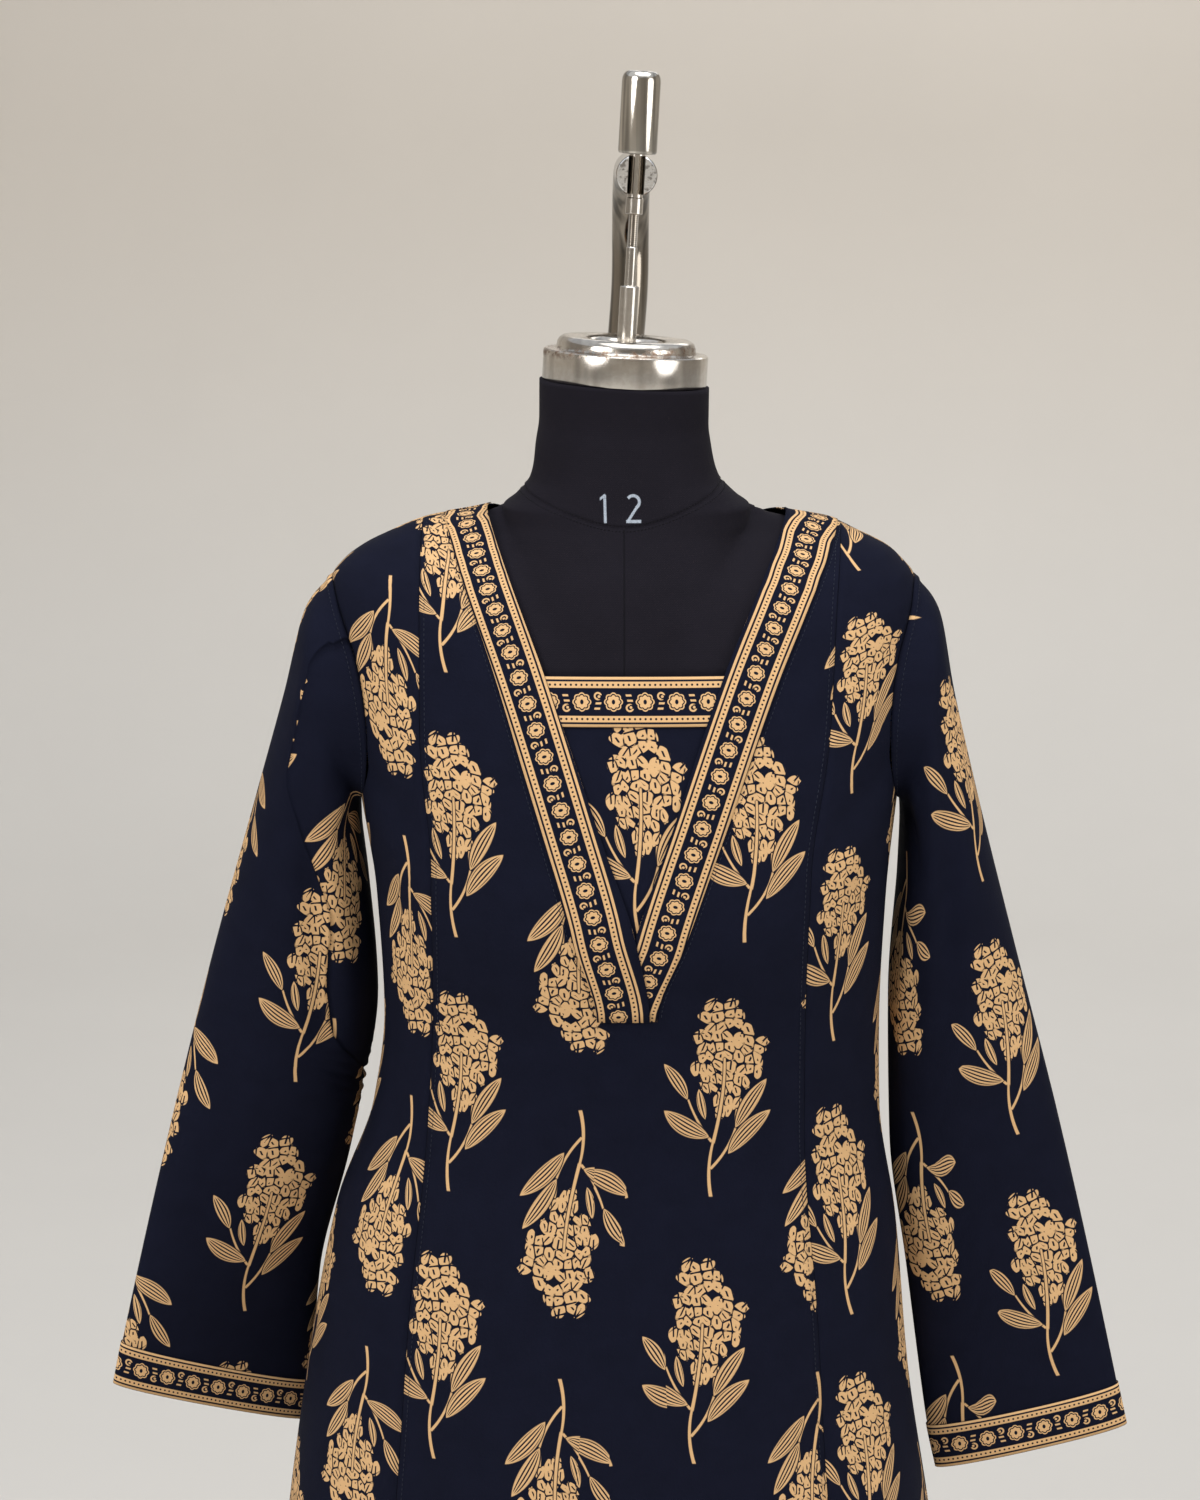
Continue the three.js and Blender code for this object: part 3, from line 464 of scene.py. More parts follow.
def level_rows():
    """Heights below the underarm, with a row at the V's point and one at the strips' flat end."""
    spans = ((UNDERARM_Z, V_POINT_Z, 10), (V_POINT_Z, V_END_Z, 9), (V_END_Z, HEM_Z, 116))
    rows = [np.linspace(a, b, n, endpoint=False) for a, b, n in spans]
    return np.concatenate([*rows, [HEM_Z]])


LEVELS = level_rows()
LAST_ROW = UPPER_ROWS + len(LEVELS) - 1
V_ROW = UPPER_ROWS + int(np.argmin(np.abs(LEVELS - V_POINT_Z)))
V_END_ROW = UPPER_ROWS + int(np.argmin(np.abs(LEVELS - V_END_Z)))


def row_z(top, rows):
    upper = lerp(top, UNDERARM_Z, (np.minimum(rows, UPPER_ROWS) / UPPER_ROWS) ** 2)
    return np.where(rows < UPPER_ROWS, upper, LEVELS[np.clip(rows - UPPER_ROWS, 0, len(LEVELS) - 1)])


def body_edge(side, x, where="front"):
    """An edge that starts on the shoulder at this x and runs down at x(z)."""
    top = ridge_at(float(x(SHOULDER_Z)))

    def edge(rows):
        z = row_z(top, rows)
        return np.where(rows == 0, edge_angle(side, z, where), angle_at(x(z), z, where)), z

    return edge


def middle_edge(rows):
    z = row_z(0, rows)
    point = angle_at(VEE("innerLeft", V_POINT_Z), V_POINT_Z)
    return lerp(point, 0, smoothstep(-z, -V_POINT_Z, -HEM_Z)), z


def outer_edge(side, where):
    def edge(rows):
        hole_angle, hole_z = armhole(side, pi * np.minimum(rows, UPPER_ROWS) / UPPER_ROWS, where)
        z = row_z(0, rows)
        upper = rows <= UPPER_ROWS
        return np.where(upper, hole_angle, edge_angle(side, z, where)), np.where(upper, hole_z, z)

    return edge


def vee_edge(side, which):
    name = which + ("Left" if side < 0 else "Right")
    return body_edge(side, lambda z: VEE(name, z))


def seam_edge(side, offset=0.0, where="front"):
    name = "left" if side < 0 else "right"
    return body_edge(side, lambda z: PRINCESS(name, z) + side * offset, where)


def ruled(columns, first, last, start, end):
    """Angles and heights of a patch between two edges, row by row."""
    rows = np.arange(first, last + 1)
    across = np.linspace(0, 1, columns + 1)[None, :]
    (a0, z0), (a1, z1) = start(rows), end(rows)
    return lerp(a0[:, None], a1[:, None], across), lerp(z0[:, None], z1[:, None], across)


# ---- Lengths over the surface, which place the print

ARC_Z = np.concatenate([np.arange(HEM_Z, 1395, 6.0), np.arange(1395, 1414.1, 1.0)])
ARC_ANGLES = np.linspace(-pi, pi, 1441)


def arc_lengths():
    angles, heights = np.meshgrid(ARC_ANGLES, ARC_Z)
    points = body_point(angles, heights)
    run = np.cumsum(np.linalg.norm(np.diff(points, axis=1), axis=-1), axis=1)
    run = np.concatenate([np.zeros((len(ARC_Z), 1)), run], axis=1)
    return run - run[:, [len(ARC_ANGLES) // 2]]


ARCS = arc_lengths()


def arc(angle, z):
    """Length round the body from the front's middle to this angle."""
    row = np.interp(z, ARC_Z, np.arange(len(ARC_Z)))
    column = (angle + pi) / (2 * pi) * (len(ARC_ANGLES) - 1)
    i = np.clip(row.astype(int), 0, len(ARC_Z) - 2)
    j = np.clip(column.astype(int), 0, len(ARC_ANGLES) - 2)
    s, t = row - i, column - j
    low = lerp(ARCS[i, j], ARCS[i, j + 1], t)
    high = lerp(ARCS[i + 1, j], ARCS[i + 1, j + 1], t)
    return lerp(low, high, s)


def cloth_uv(points, across):
    """Print coordinates of a patch: across as given, and down by the length of cloth."""
    down = np.zeros(across.shape)
    for row in range(1, len(across)):
        length = np.linalg.norm(points[row] - points[row - 1], axis=-1)
        aside = across[row] - across[row - 1]
        down[row] = down[row - 1] - np.sqrt(np.maximum(length**2 - aside**2, 0))
    z = points[..., 2]
    anchor = int(np.argmin(np.abs(z[:, 0] - UNDERARM_Z)))
    down += (z[anchor] - down[anchor])[None, :]
    return np.stack([across, down], axis=-1)


# ---- Meshes


def finish(bm, name, look, slot, *nodes, smooth=True):
    """Puts a bmesh into the scene as a piece that rides with the part and stands for its CAD nodes."""
    mesh = bpy.data.meshes.new(name)
    bm.to_mesh(mesh)
    bm.free()
    mesh.materials.append(look)
    mesh.polygons.foreach_set("use_smooth", [smooth] * len(mesh.polygons))
    piece = bpy.data.objects.new(name, mesh)
    bpy.context.scene.collection.objects.link(piece)
    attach(piece, "root")
    if nodes:
        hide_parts(*nodes)
    return piece


def patch(bm, points, normals, uv, layer):
    """Adds a grid with these points, facing along the normals."""
    rows, columns = points.shape[0] - 1, points.shape[1] - 1
    made = bmesh.ops.create_grid(bm, x_segments=columns, y_segments=rows, size=1)["verts"]
    index = {}
    for vert in made:
        i = round((vert.co.y + 1) / 2 * rows)
        j = round((vert.co.x + 1) / 2 * columns)
        index[vert] = (i, j)
    for vert, (i, j) in index.items():
        vert.co = points[i, j] * MM
    faces = {face for vert in made for face in vert.link_faces}
    facing = 0.0
    for face in faces:
        face.normal_update()
        i, j = index[face.verts[0]]
        facing += face.normal.dot(Vector(normals[i, j]))
        for loop in face.loops:
            loop[layer].uv = uv[index[loop.vert]] * MM
    if facing < 0:
        bmesh.ops.reverse_faces(bm, faces=list(faces))


def shell(name, patches, look, slot, *nodes, thickness=0.7):
    """A sheet of cloth made of patches, each its points, normals and print coordinates."""
    bm = bmesh.new()
    layer = bm.loops.layers.uv.new("cloth")
    for points, normals, uv in patches:
        patch(bm, points, normals, uv, layer)
    bmesh.ops.remove_doubles(bm, verts=bm.verts, dist=0.05 * MM)
    piece = finish(bm, name, look, slot, *nodes)
    thick = piece.modifiers.new("thickness", "SOLIDIFY")
    thick.thickness = thickness * MM
    thick.offset = -1
    return piece


def flat_area(patches):
    """Area of the patches' middle surface, in square metres."""
    total = 0.0
    for points, _, _ in patches:
        a = points[1:, 1:] - points[:-1, :-1]
        b = points[1:, :-1] - points[:-1, 1:]
        total += np.linalg.norm(np.cross(a, b), axis=-1).sum() / 2
    return total * MM * MM


def spun(profile, segments):
    """A bmesh of a profile, its radius and height in millimetres, spun right round."""
    bm = bmesh.new()
    verts = [bm.verts.new((radius * MM, 0, height * MM)) for radius, height in profile]
    edges = [bm.edges.new(pair) for pair in zip(verts, verts[1:])]
    bmesh.ops.spin(
        bm, geom=[*verts, *edges], cent=(0, 0, 0), axis=(0, 0, 1), angle=2 * pi, steps=segments, use_merge=True
    )
    bmesh.ops.remove_doubles(bm, verts=bm.verts, dist=0.01 * MM)
    bmesh.ops.recalc_face_normals(bm, faces=bm.faces)
    return bm


def turned(name, profile, look, slot, *nodes, segments=96, lean=False, at=(0, 0, 0)):
    """A turned piece: its profile spun round, and leant with the hanging form."""
    bm = spun(profile, segments)
    if lean:
        place = Matrix.Translation((HANG_X * MM, 0, FORM_TOP_Z * MM)) @ Matrix.Rotation(HANG_LEAN, 4, "Y")
    else:
        place = Matrix.Translation(Vector(at) * MM)
    bmesh.ops.transform(bm, matrix=place, verts=bm.verts)
    piece = finish(bm, name, look, slot, *nodes)
    sharp_edges(piece)
    return piece


def sharp_edges(piece, angle=radians(32)):
    """Keeps a piece's hard edges crisp under smooth shading."""
    bm = bmesh.new()
    bm.from_mesh(piece.data)
    for edge in bm.edges:
        if len(edge.link_faces) == 2 and edge.calc_face_angle(0) > angle:
            edge.smooth = False
    bm.to_mesh(piece.data)
    bm.free()


def stitches(name, runs, look, length=2.4, pitch=3.3, radius=0.22):
    """Rows of stitches: each run is points on a seam line and the directions out of the cloth there."""
    bm = bmesh.new()
    for points, normals in runs:
        steps = np.linalg.norm(np.diff(points, axis=0), axis=-1)
        distance = np.r_[0, np.cumsum(steps)]
        count = int(distance[-1] // pitch)
        for k in range(count):
            at = (k + 0.5) * pitch
            centre = np.array([np.interp(at, distance, points[:, c]) for c in range(3)])
            ahead = np.array([np.interp(at + 0.5, distance, points[:, c]) for c in range(3)])
            out = np.array([np.interp(at, distance, normals[:, c]) for c in range(3)])
            along = Vector(ahead - centre).normalized()
            out = Vector(out).normalized()
            aside = out.cross(along).normalized()
            turn = Matrix((along * length / 2, aside * radius, out * radius)).transposed().to_4x4()
            turn.translation = Vector(centre) + out * radius * 0.4
            bmesh.ops.create_icosphere(bm, subdivisions=1, radius=1, matrix=Matrix.Scale(MM, 4) @ turn)
    return finish(bm, name, look, "cloth")


# ---- Shader maths


class Number:
    """A number that varies over a surface. The operators add the Math nodes that work it out."""

    def __init__(self, look, socket):
        self.look, self.socket = look, socket

    def _with(self, operation, *values):
        node = self.look.node("ShaderNodeMath", {"operation": operation}, dict(enumerate(values)))
        return Number(self.look, node.outputs[0])

    def __add__(self, other):
        return self._with("ADD", self, other)

    def __radd__(self, other):
        return self._with("ADD", other, self)

    def __sub__(self, other):
        return self._with("SUBTRACT", self, other)

    def __rsub__(self, other):
        return self._with("SUBTRACT", other, self)

    def __mul__(self, other):
        return self._with("MULTIPLY", self, other)

    def __rmul__(self, other):
        return self._with("MULTIPLY", other, self)

    def __truediv__(self, other):
        return self._with("DIVIDE", self, other)

    def __rtruediv__(self, other):
        return self._with("DIVIDE", other, self)

    def __mod__(self, other):
        return self._with("FLOORED_MODULO", self, other)

    def __pow__(self, other):
        return self._with("POWER", self, other)

    def __neg__(self):
        return self._with("MULTIPLY", self, -1.0)

    def __abs__(self):
        return self._with("ABSOLUTE", self)

    def __gt__(self, other):
        return self._with("GREATER_THAN", self, other)

    def __lt__(self, other):
        return self._with("LESS_THAN", self, other)

    def floor(self):
        return self._with("FLOOR", self)

    def sin(self):
        return self._with("SINE", self)

    def cos(self):
        return self._with("COSINE", self)

    def least(self, other):
        return self._with("MINIMUM", self, other)

    def most(self, other):
        return self._with("MAXIMUM", self, other)

    def soft(self, edge, blur):
        """1 above the edge and 0 below it, softened over the blur on either side."""
        node = self.look.node(
            "ShaderNodeMapRange",
            {"interpolation_type": "LINEAR", "clamp": True},
            {"Value": self, "From Min": edge - blur, "From Max": edge + blur},
        )
        return Number(self.look, node.outputs["Result"])


class Look:
    """A material in the making."""

    def __init__(self, name):
        self.material = bpy.data.materials.new(name)
        self.material.use_nodes = True
        self.tree = self.material.node_tree
        self.tree.nodes.clear()
        self.shader = self.node("ShaderNodeBsdfPrincipled")
        out = self.node("ShaderNodeOutputMaterial")
        self.tree.links.new(self.shader.outputs[0], out.inputs["Surface"])

    def node(self, kind, settings=None, values=None):
        """Adds a node: its settings first, then the values or links of its sockets."""
        made = self.tree.nodes.new(kind)
        for key, value in (settings or {}).items():
            if key == "stops":
                ramp = made.color_ramp
                while len(ramp.elements) < len(value):
                    ramp.elements.new(0.5)
                for element, (place, colour) in zip(ramp.elements, value):
                    element.position, element.color = place, (*colour, 1.0)
            else:
                setattr(made, key, value)
        for key, value in (values or {}).items():
            socket = made.inputs[key]
            if isinstance(value, Number):
                value = value.socket
            if isinstance(value, bpy.types.NodeSocket):
                self.tree.links.new(value, socket)
            else:
                socket.default_value = value
        return made

    def number(self, kind, settings=None, values=None, output=0):
        return Number(self, self.node(kind, settings, values).outputs[output])

    def vector(self, operation, *values):
        node = self.node("ShaderNodeVectorMath", {"operation": operation}, dict(enumerate(values)))
        return node.outputs["Vector"]

    def dot(self, a, b):
        node = self.node("ShaderNodeVectorMath", {"operation": "DOT_PRODUCT"}, {0: a, 1: b})
        return Number(self, node.outputs["Value"])

    def parts(self, vector):
        node = self.node("ShaderNodeSeparateXYZ", None, {0: vector})
        return [Number(self, node.outputs[i]) for i in range(3)]

    def joined(self, x, y, z=0.0):
        return self.node("ShaderNodeCombineXYZ", None, {0: x, 1: y, 2: z}).outputs[0]

    def mix(self, amount, first, second):
        node = self.node(
            "ShaderNodeMix",
            {"data_type": "RGBA"},
            {0: amount, 6: first if not isinstance(first, tuple) else (*first, 1.0),
             7: second if not isinstance(second, tuple) else (*second, 1.0)},
        )
        return node.outputs[2]

    def noise(self, vector, scale, detail=2.0, rough=0.5):
        return self.number(
            "ShaderNodeTexNoise", {"noise_dimensions": "3D"},
            {"Vector": vector, "Scale": scale, "Detail": detail, "Roughness": rough},
        )

    def place(self):
        """The place on the piece, in millimetres."""
        return self.scaled(self.node("ShaderNodeTexCoord").outputs["Object"])

    def scaled(self, vector, by=1000.0):
        node = self.node("ShaderNodeVectorMath", {"operation": "SCALE"}, {0: vector, "Scale": by})
        return node.outputs["Vector"]

    def cloth_place(self):
        """The place on the flat cloth, in millimetres."""
        return self.scaled(self.node("ShaderNodeUVMap", {"uv_map": "cloth"}).outputs[0])

    def set(self, **values):
        names = {
            "colour": "Base Color", "roughness": "Roughness", "metallic": "Metallic", "normal": "Normal",
            "specular": "Specular IOR Level",
        }
        for key, value in values.items():
            socket = self.shader.inputs[names[key]]
            if isinstance(value, Number):
                value = value.socket
            if isinstance(value, bpy.types.NodeSocket):
                self.tree.links.new(value, socket)
            elif isinstance(value, tuple):
                socket.default_value = (*value, 1.0)
            else:
                socket.default_value = value

    def bump(self, height, strength, distance):
        node = self.node("ShaderNodeBump", None, {"Strength": strength, "Distance": distance, "Height": height})
        return node.outputs[0]


def shade(colour, share):
    """A colour made darker or lighter."""
    return tuple(min(c * share, 1.0) for c in colour)


def weave(look, place, pitch=0.42):
    """Height of a plain weave: threads over and under each other."""
    x, y, _ = look.parts(place)
    k = pi / pitch
    return (x * k).sin() * (y * k).sin()


# ---- The flowering sprig of the print

SPRIG_ACROSS = 84.5  # from an upright column to the next hanging one
SPRIG_DOWN = 176.0  # from a sprig to the next one in its column
SPRIG_DROP = 75.5  # how much lower a hanging sprig stands than an upright one

# Leaves: base, tip, half width and sideways bend.
LEAVES = (
    ((12.5, -21.5), (31.0, 12.0), 5.2, 0.22),
    ((9.0, -38.5), (35.0, -9.0), 5.9, 0.30),
    ((-3.5, -29.0), (-34.0, -12.5), 6.2, 0.30),
    ((-18.5, -3.5), (-34.5, 20.5), 4.3, -0.22),
    ((-7.0, -16.5), (-12.5, 4.0), 2.8, 0.2),
)
# Stems: foot, head, half width at the foot, and sideways bend.
STEMS = (
    ((1.5, -67.0), (-0.5, -31.0), 1.15, 2.2),
    ((-0.6, -32.0), (3.4, 26.0), 1.1, -1.5),
    ((-0.8, -49.0), (13.5, -20.0), 0.95, -2.2),
    ((-1.5, -31.0), (-18.5, -3.5), 0.85, 1.4),
    ((13.5, -20.5), (13.0, -9.0), 0.8, 0.4),
)


def along_across(look, place, start, end):
    """How far along a line a place is, as a share, and how far to its side, in millimetres."""
    run = Vector((end[0] - start[0], end[1] - start[1]))
    length = run.length
    run /= length
    off = look.vector("SUBTRACT", place, (start[0], start[1], 0.0))
    along = look.dot(off, (run.x / length, run.y / length, 0.0))
    across = look.dot(off, (-run.y, run.x, 0.0))
    return along, across


def leaf(look, place, start, end, half, bend):
    """One leaf: the room it takes, and its gold, a pointed oval with dark veins that run from base to tip."""
    along, across = along_across(look, place, start, end)
    hump = (along * (1.0 - along)) * 4.0
    aside = across / half - (hump - 0.5) * bend
    inside = hump.most(0.0) ** 0.8 - abs(aside)
    body = inside.soft(0.08, 0.05)
    spread = aside / (hump.most(0.02) ** 0.8)
    wave = abs(((spread * (half * 0.43) + 0.5) % 1.0) - 0.5)
    vein = 1.0 - wave.soft(0.22, 0.05)
    middle = inside.soft(0.2, 0.05) * along.soft(0.05, 0.03) * (1.0 - along.soft(0.9, 0.04))
    room = inside.soft(0.08 - LEAF_RIM / half, 0.05) * along.soft(0.0, 0.01) * (1.0 - along.soft(1.0, 0.01))
    return room, body * (1.0 - vein * middle)


def stem(look, place, start, end, half, bend):
    along, across = along_across(look, place, start, end)
    hump = (along * (1.0 - along)) * 4.0
    inside = half - along * (half * 0.35) - abs(across - hump * bend)
    return inside.soft(0.0, 0.2) * along.soft(0.0, 0.01) * (1.0 - along.soft(1.0, 0.01))


HEAD_FOOT = (4.5, -27.0)  # where the petals fan out from
HEAD_SHEAR = 0.11
PETAL = (5.0, 7.4)  # size of a petal's place: across and outwards
LINE = 0.5  # half width of the dark lines
LEAF_RIM = 0.9  # width of the dark rim round a leaf


def petal(look, fanned, cell):
    """One petal about its cell's point: an egg that leans by chance, with a dark line down its middle."""
    across, out, _ = look.parts(look.vector("SUBTRACT", fanned, cell.outputs["Position"]))
    at_across, at_out, _ = look.parts(cell.outputs["Position"])
    lean, chance, _ = look.parts(cell.outputs["Color"])
    far = at_out * PETAL[1]
    turn = at_across * PETAL[0] / (far * 0.55 + 15.0)
    high = far * turn.cos() + HEAD_FOOT[1]
    aside = far * turn.sin() + HEAD_FOOT[0] - (high - HEAD_FOOT[1]) * HEAD_SHEAR
    middle = 5.5 - (high - 45.0).most(0.0) * 0.38
    wide = ((high + 13.0) * 0.5 + 5.0).least((73.0 - high) * 0.5 + 3.5).least(23.0)
    kept = (wide > abs(aside - middle)) * (chance > 0.03) * (high > -12.0) * (high < 70.0)
    out = out * PETAL[1]
    across = across * PETAL[0] - out * (lean - 0.5) * 1.5
    wide = across / (out * 0.2 + 3.15)
    egg = (wide * wide + out * out * 0.041).soft(1.0, 0.08)
    notch = (lean > 0.5) * 1.8
    vein = (1.0 - abs(across).soft(LINE, 0.12)) * (1.0 - abs(out - 0.3 - notch).soft(notch + 1.7, 0.2))
    return (1.0 - egg) * kept * (1.0 - vein)


def cluster(look, place):
    """The flower head: petals that fan out from the stem, with dark lines between and inside them."""
    x, y, _ = look.parts(look.vector("SUBTRACT", place, (*HEAD_FOOT, 0.0)))
    far = (x * x + y * y) ** 0.5
    turn = look.number("ShaderNodeMath", {"operation": "ARCTAN2"}, {0: x + y * HEAD_SHEAR, 1: y})
    fanned = look.joined(turn * (far * 0.55 + 15.0) / PETAL[0], far / PETAL[1])
    near, next_near = (
        look.node(
            "ShaderNodeTexVoronoi", {"voronoi_dimensions": "2D", "feature": feature},
            {"Vector": fanned, "Scale": 1.0, "Randomness": 0.66},
        )
        for feature in ("F1", "F2")
    )
    petals = petal(look, fanned, near).most(petal(look, fanned, next_near))
    apart = Number(look, next_near.outputs["Distance"]) - Number(look, near.outputs["Distance"])
    wave = look.number(
        "ShaderNodeTexNoise", {"noise_dimensions": "2D"}, {"Vector": place, "Scale": 0.17, "Detail": 0.0}
    )
    return petals * (1.0 - (1.0 - apart.soft(0.14, 0.03)) * wave.soft(0.38, 0.06))


def sprig(look, place):
    """The gold of one sprig, in millimetres about its middle."""
    gold = cluster(look, place)
    foot, head, half, bend = STEMS[1]
    gold = gold * (1.0 - stem(look, place, foot, head, half + 0.8, bend))
    for row in STEMS:
        gold = gold.most(stem(look, place, *row))
    for row in LEAVES:
        room, painted = leaf(look, place, *row)
        gold = (gold * (1.0 - room)).most(painted)
    return gold


def sprig_print(look, place):
    """Columns of sprigs, by turns upright and hanging, each of the hanging ones lower."""
    x, y, _ = look.parts(place)
    column = (x / SPRIG_ACROSS + 0.5).floor()
    odd = column % 2.0
    near_x = x - column * SPRIG_ACROSS
    near_y = ((y + odd * SPRIG_DROP + SPRIG_DOWN / 2) % SPRIG_DOWN) - SPRIG_DOWN / 2
    flip = 1.0 - odd * 2.0
    return sprig(look, look.joined(near_x * flip, near_y * flip))


# ---- The border's print

BAND_MIDDLE = 15.5
FLOWER_PITCH = 19.5
DOT_PITCH = 3.25


def border_print(look, place):
    """The gold of the border strip: x runs along it and y across it, from 0 to 31 mm."""
    x, y, _ = look.parts(place)
    side = y - BAND_MIDDLE
    off = abs(side)
    edge_line = off.soft(13.6, 0.12) * (1.0 - off.soft(15.25, 0.12))
    stripe = off.soft(8.5, 0.12) * (1.0 - off.soft(12.35, 0.12))
    dot_x = ((x / DOT_PITCH + 0.5) % 1.0 - 0.5) * DOT_PITCH
    dot_y = off - 10.4
    dots = (dot_x * dot_x + dot_y * dot_y).soft(0.52, 0.22)
    gold = edge_line + stripe * dots
    # Flowers: a scalloped rim, a dark line, a disc and a dark eye
    flower_x = ((x / FLOWER_PITCH + 0.5) % 1.0 - 0.5) * FLOWER_PITCH
    far = (flower_x * flower_x + side * side) ** 0.5
    turn = look.number("ShaderNodeMath", {"operation": "ARCTAN2"}, {0: flower_x, 1: side})
    rim = far - abs((turn * 4.0).cos()) * 0.85
    ring = rim.soft(4.2, 0.1) * (1.0 - rim.soft(5.0, 0.1))
    disc = (1.0 - rim.soft(3.35, 0.1)) * (flower_x * flower_x + side * side * 0.5).soft(1.15, 0.3)
    gold = gold + ring + disc
    # Between flowers: a curl on one side and two dashes on the other, by turns
    flip = 1.0 - ((x / FLOWER_PITCH).floor() % 2.0) * 2.0
    between = ((x / FLOWER_PITCH) % 1.0 - 0.5) * FLOWER_PITCH
    up = side * flip
    curl_x, curl_y = between - 0.2, up + 3.6
    curl_far = (curl_x * curl_x + curl_y * curl_y) ** 0.5
    curl = (1.0 - abs(curl_far - 1.95).soft(0.55, 0.12)) * (1.0 - (curl_x > 0.1) * (curl_y > -0.6) * (curl_y < 2.0))
    ball_x, ball_y = between - 0.9, up + 3.3
    pip = 1.0 - (ball_x * ball_x + ball_y * ball_y).soft(0.7, 0.3)
    slant = between + (up - 2.6) * 0.25
    dashes = (1.0 - abs(abs(up - 2.4) - 1.6).soft(0.62, 0.12)) * (1.0 - abs(slant).soft(1.75, 0.15))
    little = curl + pip + dashes
    return (gold + little * rim.soft(5.7, 0.1) * (1.0 - off.soft(7.7, 0.1))).least(1.0)


# ---- Materials

NAVY = (0.0052, 0.0062, 0.0150)
GOLD = (0.640, 0.400, 0.195)


def printed_cotton(name, gold_of):
    """Navy cotton with a gold print that takes the weave and wears thin in places."""
    look = Look(name)
    place = look.cloth_place()
    settings = bpy.context.scene.kurta_cloth
    gold = gold_of(look, place)
    cloud = look.noise(place, 0.045, 3.0, 0.6)
    grain = look.noise(place, 1.9, 2.0, 0.6)
    speckle = grain.soft(0.36, 0.1)
    cloth = look.mix(cloud, shade(settings.navy, 0.8), shade(settings.navy, 1.25))
    ink = look.mix(cloud * 0.6 + grain * 0.4, shade(settings.gold, 0.86), shade(settings.gold, 1.12))
    colour = look.mix(gold * (speckle * 0.12 + 0.88), cloth, ink)
    height = weave(look, place) * 0.5 + look.noise(place, 0.5, 2.0, 0.6) * 1.6 + gold * 0.25
    look.set(
        colour=colour, roughness=0.88 - gold * 0.14, specular=0.07,
        normal=look.bump(height, 0.35, 0.00025),
    )
    return look.material


CHALK = (0.40, 0.45, 0.52)
NUMBER_Z = 1418.0  # middle of the chalked number
ONE_X, TWO_X = -12.9, 4.6
SEAM_SHADOW = (0.003, 0.003, 0.004)


def jersey(name):
    """Matt charcoal jersey with fine ribs and a chalked size number on the neck."""
    look = Look(name)
    place = look.place()
    x, y, z = look.parts(place)
    ribs = (x * 6.2).sin() * (z * 4.6 + (x * 6.2).sin() * 0.6).sin()
    cloud = look.noise(place, 0.03, 3.0, 0.6)
    fuzz = look.noise(place, 1.4, 3.0, 0.7)
    settings = bpy.context.scene.kurta_form
    base = look.mix(cloud, shade(settings.jersey, 0.82), shade(settings.jersey, 1.22))
    chalk = size_number(x, z) * (y < 0.0) * (0.6 + fuzz.soft(0.47, 0.12) * 0.4)
    middle = (1.0 - abs(x + 1.0).soft(0.55, 0.35)) * (y < 0.0) * (z < SEAM_LOW_Z - 0.6)
    colour = look.mix(chalk * 0.95, look.mix(middle * 0.6, base, SEAM_SHADOW), CHALK)
    look.set(
        colour=colour, roughness=0.92, specular=0.08,
        normal=look.bump(ribs * 0.4 + fuzz * 0.8 - middle * 2.0, 0.3, 0.0003),
    )
    return look.material


def size_number(x, z):
    """A plain chalked 12."""
    up = z - NUMBER_Z
    one = x - ONE_X + up * 0.03
    bar = (1.0 - abs(one).soft(0.85, 0.2)) * (1.0 - abs(up).soft(8.6, 0.3))
    flag = (1.0 - abs(up - 7.0 - (one + 1.6) * 0.75).soft(0.9, 0.2)) * (1.0 - abs(one + 1.4).soft(1.6, 0.2))
    two = x - TWO_X
    top = up - 4.2
    far = (two * two + top * top) ** 0.5
    bow = (1.0 - abs(far - 3.9).soft(0.9, 0.2)) * (top + two * 1.1 + 1.2).soft(0.0, 0.2)
    slope = (1.0 - abs(up + 2.4 - (two - 0.1) * 1.55).soft(1.5, 0.3)) * (1.0 - abs(up + 2.6).soft(4.9, 0.3))
    foot = (1.0 - abs(up + 7.6).soft(0.95, 0.2)) * (1.0 - abs(two - 0.4).soft(4.6, 0.3))
    return (bar + flag + bow + slope * (1.0 - abs(two).soft(4.6, 0.2)) + foot).least(1.0)


CAP_HEIGHT = 20.0
RUST = (0.16, 0.075, 0.03)
FILED, PITTED = (0.95, 0.94, 0.92), (0.42, 0.40, 0.38)  # the pole's sawn end


